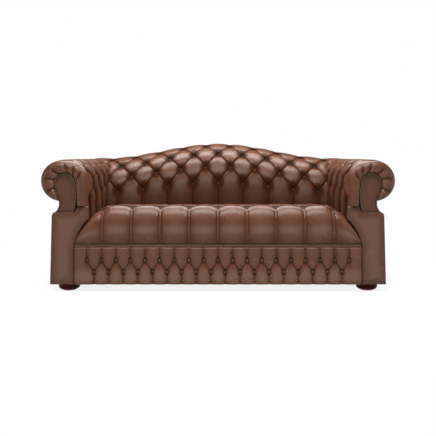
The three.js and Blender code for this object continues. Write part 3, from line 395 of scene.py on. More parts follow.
def cover(places, ring, end_maker=None):
    """A sheet along its places, once round its ring at each, with its ends closed.

    An entry of the ring is a maker and what it takes beside a place. The maker gives a point
    and the values of its layers. An end maker draws both faces together at the ends.
    """
    columns, rows = len(places) - 1, len(ring)
    bm = bmesh.new()
    layers = value_layers(bm)
    bmesh.ops.create_grid(bm, x_segments=columns, y_segments=rows, size=1)
    for vert in bm.verts:
        i = round((vert.co.x + 1) / 2 * columns)
        j = round((vert.co.y + 1) / 2 * rows) % rows
        maker, *rest = ring[j]
        if end_maker and i in (0, columns):
            maker = end_maker
        vert.co, values = maker(places[i], *rest)
        set_values(vert, layers, values)
    bmesh.ops.remove_doubles(bm, verts=bm.verts, dist=1e-6)
    close_ends(bm)
    crease(bm)
    return bm


def turned_to(point, direction, height):
    """Stands a form on a point, its z along a direction, pressed to a height."""
    turn = direction.to_track_quat("Z", "Y").to_matrix().to_4x4()
    return Matrix.Translation(point) @ turn @ Matrix.Diagonal((1, 1, height, 1))


def diamonds(rows, columns):
    """Rows and places along them in pitches; odd rows lie half a pitch further."""
    return [(row, column + (row % 2) / 2) for row in range(rows) for column in columns]


def button_on(section, length, lift=0.0):
    """A button's centre in a section, and the way it faces there."""
    point = section.at(length, BUTTON_PROUD - SINK - TUCK + lift)
    return point, section.at(length, 1) - section.point(length)


def buttons(places, radius=BUTTON_RADIUS, near=0.15):
    """Leather-covered buttons, each a low dome at a point, facing along a direction."""
    bm = bmesh.new()
    layers = value_layers(bm)
    for point, normal in places:
        matrix = turned_to(point, normal, BUTTON_HEIGHT)
        made = bmesh.ops.create_uvsphere(bm, u_segments=14, v_segments=8, radius=radius, matrix=matrix)
        for vert in made["verts"]:
            # A small near value darkens and dulls the buttons as painted shade, and the rise of 0.8 lightens them like
            # the crowns.
            set_values(vert, layers, (near, 0.8, 0))
    return bm


# Arms

arm_section = Section(
    bezier((ARM_X, ARM_FOOT_Z), (ARM_X, ARM_BEND_Z)),
    bezier((ARM_X, ARM_BEND_Z), (ARM_X, 0.705), (0.800, ROLL_Z + ROLL_RADIUS), (ROLL_X, ROLL_Z + ROLL_RADIUS)),
    arc((ROLL_X, ROLL_Z), (ROLL_RADIUS, ROLL_RADIUS), math.pi / 2, ROLL_END),
)
SEAM_LENGTH = SEAM_Z - ARM_FOOT_Z
arm_first = ARM_FIRST_Z - ARM_FOOT_Z
arm_last = arm_first + 2 * ARM_STEP * ARM_LAST

# The facing's outline that the roll's padding meets, from the seam up over the head to the neck.
facing_edge = Section(
    bezier((FACING_SIDE_X, SEAM_Z), (FACING_SIDE_X, SEAM_Z), (FACING_SIDE_X, 0.560), (HEAD.x - HEAD_RADIUS, HEAD.y)),
    arc(HEAD, (HEAD_RADIUS, HEAD_RADIUS), math.pi, 0),
    bezier((HEAD.x + HEAD_RADIUS, HEAD.y), (HEAD.x + HEAD_RADIUS, 0.5755), (0.913, 0.548), (0.900, 0.531)),
)


def facing_edge_point(length, outwards=0.0):
    if length < SEAM_LENGTH:
        return Vector((FACING_SIDE_X - outwards, ARM_FOOT_Z + length))
    share = (length - SEAM_LENGTH) / (arm_section.whole - SEAM_LENGTH)
    return facing_edge.at(facing_edge.whole * share, outwards)


def arm_point(depth, length, p):
    """The arms climb towards the back, the more the higher a place lies on the straight part."""
    share = clamp(length / (ARM_BEND_Z - ARM_FOOT_Z))
    return Vector((p.x, at_depth(depth), p.y + ARM_RISE * share * depth / ROLL_BACK_DEPTH))


def angle_on_roll(length):
    p = arm_section.point(length) - HEAD
    return math.atan2(p.y, p.x)


# Pleats gather the leather round the head of the facing, and fade outwards.
roll_lengths = [arm_section.whole * i / 900 for i in range(900)]
pleat_lengths = [
    min(roll_lengths, key=lambda length: abs(angle_on_roll(length) - angle))
    for angle in map(math.radians, PLEAT_ANGLES)
]


def pleat_groove(length, depth, share):
    """How deep the leather sinks into the nearest pleat, at a share of the way out from the facing."""
    away = min(abs(length - pleat) for pleat in pleat_lengths)
    width = 0.0026 + 0.003 * share
    fade = smooth(1 - share / 0.80) * clamp(1 - (depth - 0.012) / 0.05)
    puffed = PLEAT_PUFF * fade * math.cos(math.pi * clamp(away / 0.030))
    return puffed + PLEAT_DEPTH * fade * math.exp(-((away / width) ** 2))


def nose_shares(depth):
    """How far the section has opened from the facing's edge to the full roll, outside and inside."""
    return lerp(NOSE_START, 1, rounded(depth / NOSE)), NOSE_START * (1 - rounded(depth / NOSE_INNER))


def seam_fade(room):
    """Puffs sink into the seam where two covers meet, by their room up to it."""
    return math.sqrt(clamp(room / 0.035))


def mitre_depth(x):
    """The depth at which the arm's cover meets the back's."""
    return x - MITRE - CLEARANCE


def arm_depth(depth, length, base):
    """Below the facing's seam the front panel stands before the arm's leather."""
    front = BACKING + 0.0004 if length < SEAM_LENGTH - 0.001 else 0
    return clamp(depth, front, mitre_depth(base.x))


def arm_surface(depth, length, base, normal):
    """The outer leather at a depth and a length along the section."""
    depth = arm_depth(depth, length, base)
    outer_share = nose_shares(depth)[0] if depth < NOSE else 1
    s = (depth - ARM_FIRST_DEPTH) / PITCH
    t = max((length - arm_first) / (2 * ARM_STEP), 0)
    over = clamp((length - arm_last) / ROLL_TOP)
    late = clamp((length - arm_last - ROLL_TOP) / (arm_section.whole - arm_last - ROLL_TOP))
    fade = lerp(1 - ROLL_CALM * math.sqrt(over), ROLL_SWELL / PUFF, late**2)
    fade *= seam_fade(mitre_depth(base.x) - depth)
    if s >= 0:
        lift, rise, near = relief(s, t, ARM_LAST, fade, (depth, length, 0), seed=3)
    else:
        # In front of the first buttons the folds run forward and die away into the padded edge.
        ahead = smooth(-s * PITCH / (ARM_FIRST_DEPTH - NOSE * 0.6))
        below = smooth((arm_first - length) / 0.05)
        rise = lerp(tuft(0, t, ARM_LAST), math.sin(math.pi * min(-s, 0.5)) ** 0.6, below)
        near = math.hypot(button_near(0, t, ARM_LAST), s)
        lift = lerp(puff(rise, near, fade), PUFF * 0.25 * fade + ROLL_SWELL, ahead)
        rise = lerp(rise, 0.8, ahead)
    swell = lerp(ROLL_SWELL, lift, clamp((depth - NOSE * 0.5) / NOSE))
    p = facing_edge_point(length).lerp(base + normal * swell, outer_share)
    groove = pleat_groove(length, depth, (outer_share - NOSE_START) / (1 - NOSE_START))
    p -= normal * groove * outer_share
    point = arm_point(depth, length, p)
    point.y += groove * (1 - outer_share) * PLEAT_LEAN
    point.x = max(point.x, ARM_INNER_X)
    # Painted shade: darker low down towards the seat and round the facing's edge.
    shade = max(0.5 * smooth(1 - length / arm_first), 0.8 * (1 - outer_share))
    return point, (near, clamp(rise - groove * PLEAT_DARK), shade)


def arm_inside(depth, length, base, normal):
    depth = arm_depth(depth, length, base)
    p = base - normal * WALL
    groove = 0
    if depth < BACKING:
        p = facing_edge_point(length, -0.0006).lerp(p, nose_shares(depth)[1])
        groove = pleat_groove(length, depth, 0)
    point = arm_point(depth, length, p)
    point.y += groove * (1 - NOSE_START) * PLEAT_LEAN
    # The pleats are darkened as painted shade.
    return point, (1, clamp(0.8 - groove * PLEAT_DARK), 0)


def arm_cover():
    outer = chained(0, CELL, arm_first, CELL, arm_last, 0.0040, arm_section.whole)
    depths = [NOSE * (1 - math.cos(math.pi / 2 * k / 12)) + 0.0005 for k in range(13)]
    depths += steps(NOSE, ARM_FIRST_DEPTH, CELL)[1:]
    depths += [ARM_FIRST_DEPTH + CELL * (k + 1) for k in range(math.ceil(ARM_COVERED_DEPTH / CELL))]
    return cover(depths, section_ring(arm_section, outer, outer[::-1], arm_surface, arm_inside), arm_surface)


def arm_buttons():
    places = []
    for row, s in diamonds(4, range(7)):
        depth = ARM_FIRST_DEPTH + s * PITCH
        length = arm_first + row * ARM_STEP
        p, normal = button_on(arm_section, length)
        point = arm_point(depth, length, p)
        if depth < point.x - MITRE - BUTTON_ROOM:
            places.append((point, Vector((normal.x, 0, normal.y))))
    return buttons(places)


pair("arm_leather", arm_cover(), ["arm_cover"])
pair("arm_buttons", arm_buttons())

# Seat

seat_section = Section(
    bezier((0.016, NAIL_Z), (SEAT_NOSE_DEPTH, 0.3195), (SEAT_NOSE_DEPTH, SEAT_NOSE_Z)),
    arc((SEAT_NOSE_DEPTH + SEAT_ROUND, SEAT_NOSE_Z), (SEAT_ROUND, SEAT_CREST - SEAT_NOSE_Z), math.pi, math.pi / 2),
    bezier((SEAT_NOSE_DEPTH + SEAT_ROUND, SEAT_CREST), (0.440, 0.455)),
)


def seat_fall(x):
    share = clamp((abs(x) - SEAT_FLAT) / (SEAT_HALF - SEAT_FLAT))
    return (1 - share**1.7) ** (1 / 1.7)


def seat_point(x, p):
    return Vector((x, at_depth(p.x), NAIL_Z + (p.y - NAIL_Z) * seat_fall(x)))


def seat_surface(x, length, base, normal):
    room = 1
    if base.x > BACKING:
        x = clamp(x, -SPLIT_X, SPLIT_X)
        room = SPLIT_X + 0.006 - abs(x)
    s = x / PITCH
    t = (length - SEAT_FIRST) / (2 * SEAT_STEP)
    risen = clamp((length - SEAT_NAILED) / (SEAT_FIRST - SEAT_NAILED))
    fade = math.sqrt(risen * seat_fall(x)) * seam_fade(room)
    fade *= seam_fade((seat_section.whole - length) * 1.5)
    lift, rise, near = relief(s, t, SEAT_LAST, fade, (x, length, 1), seed=7)
    lift = lerp(lift, fade * (PUFF * 0.6 - TUCK), SAT_FLAT)
    if t < 0:
        # Down the front each pleat is a narrow flat strip between two fold lines.
        away = abs(s - round(s))
        half = 2 / CELLS * smooth(-t / 0.12)
        rise = math.sin(math.pi * clamp(away - half, 0, 0.5)) ** 0.5
        if away < half:
            rise = 0.52 * math.sqrt(1 - (away / half) ** 2)
        deep = lerp(1, 0.55, smooth(-t / 0.5))
        ahead = smooth(-t / 0.30)
        full = 1 + fuller((x, length, 1), 7)
        plain = PUFF * 0.62 * (1 - deep * (1 - rise)) * full - TUCK * 0.4
        lift = lerp(lift, fade * plain, ahead)
    near += 0.20 * smooth((0.12 - t) / 0.1)
    # A pale band across the front is a painted reflection.
    rise *= 1 + 0.9 * smooth(1 - abs(length - 0.088) / 0.036)
    # Painted shade: darkest at the nails, a little over them, and where it meets the back.
    shade = max(
        smooth((base.x - 0.36) / 0.08),
        0.26 * smooth((0.058 - length) / 0.03),
        0.9 * smooth((SEAT_NAILED - length) / 0.003),
    )
    return seat_point(x, base + normal * lift), (near, rise, shade)


def seat_inside(x, length, base, normal):
    if base.x + WALL > BACKING:
        x = clamp(x, -SPLIT_X, SPLIT_X)
    thick = min(0.0105 + length * seat_fall(x) / 3, WALL)
    return seat_point(x, base - normal * thick), HIDDEN


def seat_cover():
    last = SEAT_FIRST + 2 * SEAT_STEP * SEAT_LAST
    outer = chained(0, 0.0052, SEAT_FIRST, CELL, last, CELL, seat_section.whole)
    places = across(SEAT_END, CELL)
    return cover(places, section_ring(seat_section, outer, (outer[-1], 0), seat_surface, seat_inside))


def seat_buttons():
    places = []
    for row, s in diamonds(5, range(-5, 6)):
        x = s * PITCH
        length = SEAT_FIRST + row * SEAT_STEP
        if abs(x) < 0.70 and length < seat_section.whole - 0.02:
            p, normal = button_on(seat_section, length, SAT_FLAT * 0.75 * PUFF)
            places.append((seat_point(x, p), Vector((0, normal.x, normal.y))))
    return buttons(places)


new_piece("seat_leather", seat_cover(), ["seat_cover"])
new_piece("seat_buttons", seat_buttons())

# Back

back_curve = bezier((0.460, BACK_FOOT_Z), (0.450, 0.570), (0.570, 0.826), (ROLL_BACK_DEPTH, BACK_PEAK))
back_section = Section(
    back_curve,
    arc((ROLL_BACK_DEPTH, BACK_PEAK - ROLL_RADIUS), (ROLL_RADIUS, ROLL_RADIUS), math.pi / 2, ROLL_END),
)
back_face = Section(back_curve).whole
back_last = BACK_FIRST + 2 * BACK_STEP * BACK_LAST


def back_drop(x):
    return (BACK_PEAK - BACK_SHOULDER) * math.sin(math.pi / 2 * clamp(abs(x) / BACK_ARCH)) ** 2


def back_point(x, length, p):
    climbed = clamp((p.y - BACK_FOOT_Z) / (BACK_PEAK - BACK_FOOT_Z))
    share = climbed**BACK_DROP_POWER if length < back_face else 1
    return Vector((x, at_depth(p.x), p.y - back_drop(x) * share))


def back_limit(depth):
    """How far to the side the back's cover reaches before it meets the arm's."""
    return max(SPLIT_X, depth + MITRE - CLEARANCE)


def back_surface(x, length, base, normal):
    limit = back_limit(base.x)
    x = clamp(x, -limit, limit)
    s = x / PITCH
    t = (length - BACK_FIRST) / (2 * BACK_STEP)
    over = clamp((length - back_last) / (back_section.whole - back_last))
    fade = (1 - (1 - ROLL_SWELL / PUFF) * math.sqrt(over)) * seam_fade(limit - abs(x))
    lift, rise, near = relief(s, t, BACK_LAST, fade, (x, length, 2), seed=11)
    # The rolled top is less deeply buttoned.
    lift = lerp(lift, fade * (0.6 * PUFF - TUCK), 0.32 * smooth((t - 1.05) / 0.4))
    # Painted shade darkens the back towards the seat, less with each row upwards.
    return back_point(x, length, base + normal * lift), (near, rise, smooth((1.15 - t) / 1.15))


def back_inside(x, length, base, normal):
    limit = back_limit(base.x)
    x = clamp(x, -limit, limit)
    return back_point(x, length, base - normal * WALL), HIDDEN


def back_cover():
    outer = chained(0, 0.007, BACK_FIRST, 2 * BACK_STEP / CELLS, back_last, 0.0064, back_section.whole)
    count = math.ceil(0.999 / CELL)
    places = [k * CELL for k in range(-count, count + 1)]
    return cover(places, section_ring(back_section, outer, (outer[-1], 0), back_surface, back_inside))


def back_buttons():
    places = []
    for row, s in diamonds(4, range(-6, 7)):
        x = s * PITCH
        length = BACK_FIRST + row * BACK_STEP
        if abs(x) < back_limit(back_section.point(length).x) - BUTTON_ROOM:
            p, normal = button_on(back_section, length)
            places.append((back_point(x, length, p), Vector((0, normal.x, normal.y))))
    return buttons(places)


new_piece("back_leather", back_cover(), ["back_cover"])
new_piece("back_buttons", back_buttons())

# Front border: pleats run up from the upper buttons and down from the lower ones, with diamonds between


def border_surface(x, z):
    s = x / BORDER_PITCH
    t = (BORDER_UPPER - z) / (2 * (BORDER_UPPER - BORDER_LOWER))
    buttoned = clamp(((BORDER_UPPER_COUNT + 1) / 2 * BORDER_PITCH - abs(x)) / (BORDER_PITCH / 2))
    near = button_near(s, t, 0.5)
    t_held = clamp(t, 0, 0.5)
    rise = math.sqrt(math.sqrt(abs(math.sin(math.pi * (s + t_held)) * math.sin(math.pi * (t_held - s)))))
    beyond = abs(s) - (BORDER_UPPER_COUNT - 1) / 2
    if beyond > 0:
        # Outside the last upper button the leather is plain.
        near = math.hypot(beyond, t)
        rise = lerp(rise, 1, smooth(beyond / 0.16))
    slack = 1 + 0.25 * noise.noise(Vector((x * 14, z * 9, 0)))
    lift = BORDER_PUFF * lerp(1, 1.25 * slack * lerp(0.45, 1, rise) * hollow(near, 0.32), buttoned)
    lift -= 0.003 * buttoned * (1 - hollow(near, 0.12))
    rim = min(z - FLOOR_GAP, BORDER_TOP - z, BORDER_HALF - abs(x))
    # The lower edge is drawn up a little at each pleat.
    drawn = 0.0025 * buttoned * (1 - rise) * clamp(1 - (z - FLOOR_GAP) / 0.02)
    point = Vector((x, at_depth(BORDER_FRONT - lift * rounded(rim / 0.010)), z + drawn))
    # Paler over the lower part of its height.
    lightened = 1 + 0.7 * smooth((0.150 - z) / 0.05) * smooth((z - 0.05) / 0.02)
    return point, (near * 1.2, lerp(0.6, rise, buttoned) * lightened, 0)


def border_inside(x, z):
    return Vector((x, at_depth(BORDER_BACK), z)), HIDDEN


def front_border():
    heights = chained(
        FLOOR_GAP, 0.002, FLOOR_GAP + 0.012, 0.005, BORDER_LOWER, (BORDER_UPPER - BORDER_LOWER) / 12,
        BORDER_UPPER, 0.005, BORDER_TOP - 0.012, 0.002, BORDER_TOP,
    )
    ring = [(border_surface, z) for z in heights] + [(border_inside, z) for z in (BORDER_TOP, FLOOR_GAP)]
    return cover(across(BORDER_HALF, BORDER_PITCH / 24), ring)


def border_buttons():
    places = []
    for row, s in diamonds(2, range(-9, 10)):
        if abs(s) <= (BORDER_UPPER_COUNT - 1) / 2:
            point = border_surface(s * BORDER_PITCH, (BORDER_UPPER, BORDER_LOWER)[row])[0]
            places.append((point + FORWARDS * 0.0042, FORWARDS))
    return buttons(places, radius=0.0085, near=0.28)


new_piece("border_leather", front_border(), ["front_border"])
new_piece("border_buttons", border_buttons())

# Padded panels cut to an outline in x and z


def edge_distance(point, points):
    """How far a point is from a closed outline."""
    distances = []
    for a, b in zip(points, points[1:] + points[:1]):
        side = b - a
        nearest = a + side * clamp((point - a).dot(side) / side.length_squared)
        distances.append((point - nearest).length)
    return min(distances)


def padded_board(outline, depth0, depth1, edge, crown, spread, shaded_rim=0.0, size=0.007):
    """A board with a rounded front edge and a slightly crowned face, from one depth to another.

    Under a row of nails a band of its rim, of the given width, is darkened as painted shade.
    """
    points = []
    for a, b in zip(outline, outline[1:] + outline[:1]):
        a, b = Vector(a), Vector(b)
        count = max(round((b - a).length / size), 1)
        points += [a.lerp(b, k / count) for k in range(count)]
    inner = []
    for inset in (0.1 * edge, 0.3 * edge, 0.6 * edge, edge, edge + size):
        for before, here, after in zip(points[-1:] + points[:-1], points, points[1:] + points[:1]):
            side = (after - before).normalized()
            inner.append((here + Vector((-side.y, side.x)) * inset, inset))
    low = Vector((min(p.x for p in points), min(p.y for p in points)))
    high = Vector((max(p.x for p in points), max(p.y for p in points)))
    for x in steps(low.x, high.x, size):
        inner += [(Vector((x, z)), edge + 1.6 * size) for z in steps(low.y, high.y, size)]
    # Those that crowd the edge are left out.
    inner = [p for p, least in inner if edge_distance(p, points) > 0.97 * least]
    around = [(k, (k + 1) % len(points)) for k in range(len(points))]
    places, _, faces = delaunay_2d_cdt(points + inner, around, [], 1, 1e-5)[:3]
    bm = bmesh.new()
    layers = value_layers(bm)
    verts = []
    for place in places:
        away = edge_distance(place, points)
        swell = smooth((away - edge) / spread)
        depth = depth0 + crown * (1 - swell) + edge * (1 - rounded(away / edge))
        vert = bm.verts.new((place.x, at_depth(depth), place.y))
        # Painted shade along the nailed rim.
        shade = 0.9 * smooth((shaded_rim - away) / 0.002) if shaded_rim else 0
        set_values(vert, layers, (1, 0.4 * clamp(away / edge) + 0.35 * swell, shade))
        verts.append(vert)
    for face in faces:
        bm.faces.new([verts[k] for k in face])
    sides = bmesh.ops.extrude_edge_only(bm, edges=[e for e in bm.edges if e.is_boundary])["geom"]
    for vert in [v for v in sides if isinstance(v, bmesh.types.BMVert)]:
        vert.co.y = at_depth(depth1)
    close_ends(bm)
    return bm


def facing_outline(inset):
    """The keyhole, open at its foot, at a distance in from its edge."""
    foot_z = FACING_FOOT_Z + inset
    side = FACING_SIDE_X + inset
    radius = HEAD_RADIUS - inset
    rear = HEAD.x + radius
    return Section(
        bezier((HEAD.x - 0.050 + inset, foot_z), (side, SEAM_Z), (side, 0.560), (HEAD.x - radius, HEAD.y)),
        arc(HEAD, (radius, radius), math.pi, 0),
        bezier((rear, HEAD.y), (rear, 0.548), (0.868 - inset, 0.508), (0.911 - inset, foot_z)),
    )


keyhole = facing_outline(CLEARANCE)
facing_points = [keyhole.point(length) for length in steps(0, keyhole.whole, 0.006)][::-1]
facing = padded_board(facing_points, FACING_DEPTH, BACKING, 0.003, 0.0015, 0.20, shaded_rim=0.0125, size=0.005)
pair("facing_leather", facing, ["arm_facing"])


def panel_outline():
    """Floor edge, outer side, round shoulder, foot of the facing, seam, and the edge along the seat's end."""
    points = [(PANEL_INNER, FLOOR_GAP), (BODY_HALF - 0.0005, FLOOR_GAP), (BODY_HALF, FLOOR_GAP + 0.0035)]
    points.append((SHOULDER_X, 0.418))
    corner = bezier((SHOULDER_X, 0.418), (SHOULDER_X, PANEL_TOP), (0.913, PANEL_TOP))
    points += [corner(k / 8) for k in range(1, 9)]
    points += [(x, PANEL_TOP) for x in (0.880, 0.845, 0.8097)]
    hollow_side = bezier((0.8097, PANEL_TOP), (0.796, 0.462), (FACING_SIDE_X - CLEARANCE, LEDGE_Z))
    points += [hollow_side(k / 6) for k in range(1, 7)]
    points += [(0.762, LEDGE_Z), (0.730, LEDGE_Z)]
    for x in steps(0.727, SEAT_END, 0.0045):
        points.append((x - 0.002, NAIL_Z + (SEAT_CREST - NAIL_Z) * seat_fall(x) - 0.002))
    return points + [(PANEL_INNER, z) for z in (NAIL_Z, 0.21, 0.15, 0.09)]


panel = padded_board(panel_outline(), 0.005, BACKING, 0.008, 0.005, 0.045)
pair("front_panel_leather", panel, ["arm_front_panel"])

# Piping under the seat's nails and the rows of domed nails


def welt(x, angle):
    """The round piping under the seat's nails."""
    out = arc((at_depth(BORDER_FRONT), WELT_Z), (WELT_RADIUS, WELT_RADIUS), 0, angle)(1)
    return Vector((x, out.x, out.y)), (1, 0.7, 0)


welt_ring = [(welt, 2 * math.pi * k / WELT_SIDES) for k in range(WELT_SIDES)]
new_piece("seat_piping", cover((-WELT_HALF, -0.4, 0, 0.4, WELT_HALF), welt_ring), ["seat_welt"])


def nails(places):
    """Domed nail heads, each at a point and of a size; "rise" tells how high on its dome a place lies."""
    bm = bmesh.new()
    height = bm.verts.layers.float.new("rise")
    for point, size in places:
        made = bmesh.ops.create_uvsphere(
            bm, u_segments=10, v_segments=6, radius=NAIL_RADIUS * size, matrix=turned_to(point, FORWARDS, NAIL_HEIGHT)
        )
        for vert in made["verts"]:
            vert[height] = clamp((vert.co - point).dot(FORWARDS) / (NAIL_HEIGHT * NAIL_RADIUS * size))
    return bm


def facing_nails():
    """A row round the keyhole, and smaller nails along its foot."""
    row = facing_outline(0.0064)
    places = []
    for p in map(row.point, steps(0, row.whole, NAIL_PITCH)):
        places.append((Vector((p.x, at_depth(FACING_DEPTH - 0.0008), p.y)), 1))
    for x in steps(row.point(0).x, row.point(row.whole).x, SMALL_NAIL_PITCH)[1:-1]:
        places.append((Vector((x, at_depth(FACING_DEPTH + 0.0002), FACING_FOOT_Z + 0.0075)), SMALL_NAIL))
    return nails(places)


def seat_nails():
    xs = steps(-NAIL_ROW_HALF, NAIL_ROW_HALF, NAIL_PITCH)
    return nails([(Vector((x, at_depth(0.0112), NAIL_Z + 0.0012)), 1) for x in xs])


pair("facing_nails", facing_nails(), ["facing_nail_trim"], slot="nail_brass")
new_piece("seat_nails", seat_nails(), ["seat_nail_trim"], slot="nail_brass")

# Outside of the arms and the back: taut leather over board


def taut_drop(rim):
    """How far taut leather sinks at its rim."""
    return 0.004 * (1 - math.sqrt(clamp(rim / 0.008)))


# Darker towards the rims, as painted shade in the panel finish.
def taut_values(rim):
    return 1, 0.35 + 0.4 * clamp(rim / 0.03), 0


def outside_arm():
    path = Section(
        bezier((0.9000, 0.5114), (0.9010, 0.480), (0.9060, 0.4547)),
        bezier((0.9060, 0.4547), (0.9150, PANEL_TOP), (0.9260, PANEL_TOP)),
        bezier((0.9260, PANEL_TOP), (0.9350, 0.4440), (SHOULDER_X, 0.4230)),
        bezier((SHOULDER_X, 0.4230), (BODY_HALF, FLOOR_GAP)),
    )

    def place(depth, length, out):
        p = path.at(length, out)
        rim = min(depth - OUTSIDE_START, OUTSIDE_END - depth, path.whole - length)
        if out == 0:
            p.x -= taut_drop(rim)
            p.x += 0.0012 * noise.noise(Vector((depth * 5, length * 6, 4))) * clamp(rim / 0.03)
        rise = ARM_RISE * depth / ROLL_BACK_DEPTH * clamp(1 - length / 0.05)
        return Vector((p.x, at_depth(depth), p.y + rise)), taut_values(rim)

    lengths = chained(0, 0.004, 0.10, 0.018, path.whole)
    ring = [(place, length, 0) for length in lengths] + [(place, length, -0.008) for length in lengths[::-1]]
    return cover(steps(OUTSIDE_START, OUTSIDE_END, 0.016), ring)


pair("outside_arm_leather", outside_arm(), ["outside_arm"])


def outside_back():
    rear, half = 0.9268, 0.8917

    def top(x):
        if abs(x) > half:
            return lerp(0.441, 0.433, (abs(x) - half) / (rear - half))
        return BACK_PEAK - back_drop(x) - 2 * ROLL_RADIUS - ROLL_SWELL - CLEARANCE

    def place(x, share, outer):
        z = lerp(FLOOR_GAP, top(x), share)
        # The arms' outsides lean out towards the floor.
        wide = x * (1 + 0.0094 * clamp((0.423 - z) / 0.383))
        if not outer:
            return Vector((wide, at_depth(0.8363), z)), HIDDEN
        rim = min(z - FLOOR_GAP, top(wide) - z, rear - abs(wide))
        slack = 0.0016 * noise.noise(Vector((wide * 4, z * 5, 9))) * clamp(rim / 0.06)
        return Vector((wide, at_depth(0.8432 - taut_drop(rim) + slack), z)), taut_values(rim)

    ring = [(place, share, True) for share in steps(0, 1, 1 / 30)] + [(place, 1, False), (place, 0, False)]
    return cover(steps(-rear, rear, 0.018), ring)


new_piece("outside_back_leather", outside_back(), ["outside_back"])

# Turned bun feet


def foot(depth):
    """A turned profile from the floor's middle outwards and up, spun round."""
    bm = bmesh.new()
    profile = Section(
        bezier((0.034, 0.0), (0.038, 0.0), (0.040, 0.0035)),
        bezier((0.040, 0.0035), (0.056, 0.006), (0.0597, 0.021)),
        bezier((0.0597, 0.021), (0.0604, 0.030), (0.0592, 0.0382)),
        bezier((0.0592, 0.0382), (0.057, FLOOR_GAP - CLEARANCE)),
    )
    verts = [bm.verts.new((0, 0, 0))]
    verts += [bm.verts.new((p.x, 0, p.y)) for p in map(profile.point, steps(0, profile.whole, 0.0022))]
    verts.append(bm.verts.new((0, 0, FLOOR_GAP - CLEARANCE)))
    edges = [bm.edges.new(ends) for ends in zip(verts, verts[1:])]
    bmesh.ops.spin(
        bm, geom=verts + edges, cent=(0, 0, 0), axis=(0, 0, 1), angle=2 * math.pi, steps=48, use_merge=True
    )
    bmesh.ops.remove_doubles(bm, verts=bm.verts, dist=1e-6)
    bmesh.ops.translate(bm, vec=(FOOT_X, at_depth(depth), 0), verts=bm.verts)
    return bm


for end, depth in FOOT_DEPTHS.items():
    pair("bun_foot_" + end, foot(depth), ["foot_" + end], slot="mahogany")

# Materials


class Value:
    """A socket that Python's operators join to new Math nodes."""

    def __init__(self, finish, socket):
        self.finish = finish
        self.socket = socket

    def __add__(self, other):
        return self.finish.maths("ADD", self, other)

    def __sub__(self, other):
        return self.finish.maths("SUBTRACT", self, other)

    def __mul__(self, other):
        return self.finish.maths("MULTIPLY", self, other)

    def __truediv__(self, other):
        return self.finish.maths("DIVIDE", self, other)

    __radd__ = __add__
    __rmul__ = __mul__


class Finish:
    """A material on the Principled shader, whose other nodes come from one method."""

    def __init__(self, name, **uniform):
        self.material = bpy.data.materials.new(name)
        self.material.use_nodes = True
        self.tree = self.material.node_tree
        self.shader = self.tree.nodes["Principled BSDF"]
        for socket, value in uniform.items():
            self.shader.inputs[socket.replace("_", " ")].default_value = value
        self.place = self.add("ShaderNodeTexCoord", {}, output="Object")

    @classmethod
    def on(cls, tree):
        """The same methods on a node tree that isn't a material's."""
        finish = cls.__new__(cls)
        finish.tree = tree
        return finish

    def maths(self, operation, *values):
        return self.add("ShaderNodeMath", {"operation": operation}, *values)

    def add(self, kind, settings, *values, output=0, at=(), **named):
        """A new node, its inputs fed in order, by index or by name."""
        node = self.tree.nodes.new(kind)
        for key, value in settings.items():
            if key == "stops":
                ramp = node.color_ramp
                while len(ramp.elements) < len(value):
                    ramp.elements.new(0.5)
                for element, (position, color) in zip(ramp.elements, value):
                    element.position = position
                    element.color = (*color, 1) if isinstance(color, tuple) else (color, color, color, 1)
            else:
                setattr(node, key, value)
        for key, value in [*enumerate(values), *at]:
            self.feed(node.inputs[key], value)
        for key, value in named.items():
            self.feed(node.inputs[key.replace("_", " ")], value)
        return Value(self, node.outputs[output])

    def feed(self, socket, value):
        if isinstance(value, Value):
            self.tree.links.new(value.socket, socket)
        else:
            socket.default_value = (*value, 1) if socket.type == "RGBA" else value

    def attribute(self, name):
        return self.add("ShaderNodeAttribute", {"attribute_name": name}, output="Fac")

    def noise(self, scale, detail=3.0, roughness=0.55, distortion=0.0, stretch=None):
        place = self.place
        if stretch:
            place = self.add("ShaderNodeMapping", {}, Vector=place, Scale=stretch)
        return self.add(
            "ShaderNodeTexNoise", {}, Vector=place, Scale=scale, Detail=detail, Roughness=roughness,
            Distortion=distortion,
        )

    def ramp(self, value, *stops):
        return self.add("ShaderNodeValToRGB", {"stops": stops}, value)

    def mix(self, factor, a, b):
        """Two colours mixed; the node has them at inputs 6 and 7."""
        return self.add("ShaderNodeMix", {"data_type": "RGBA"}, factor, at=((6, a), (7, b)), output=2)

    def bump(self, height, distance, strength=1.0, normal=None):
        more = {"Normal": normal} if normal else {}
        return self.add("ShaderNodeBump", {}, Height=height, Distance=distance, Strength=strength, **more)

    def surface(self, **sockets):
        for socket, value in sockets.items():
            self.feed(self.shader.inputs[socket.replace("_", " ")], value)
        return self.material

    def show_over(self, share, other):
        """A share of another shader over the Principled one."""
        own = Value(self, self.shader.outputs[0])
        mixed = self.add("ShaderNodeMixShader", {}, share, own, other)
        self.feed(self.tree.nodes["Material Output"].inputs["Surface"], mixed)


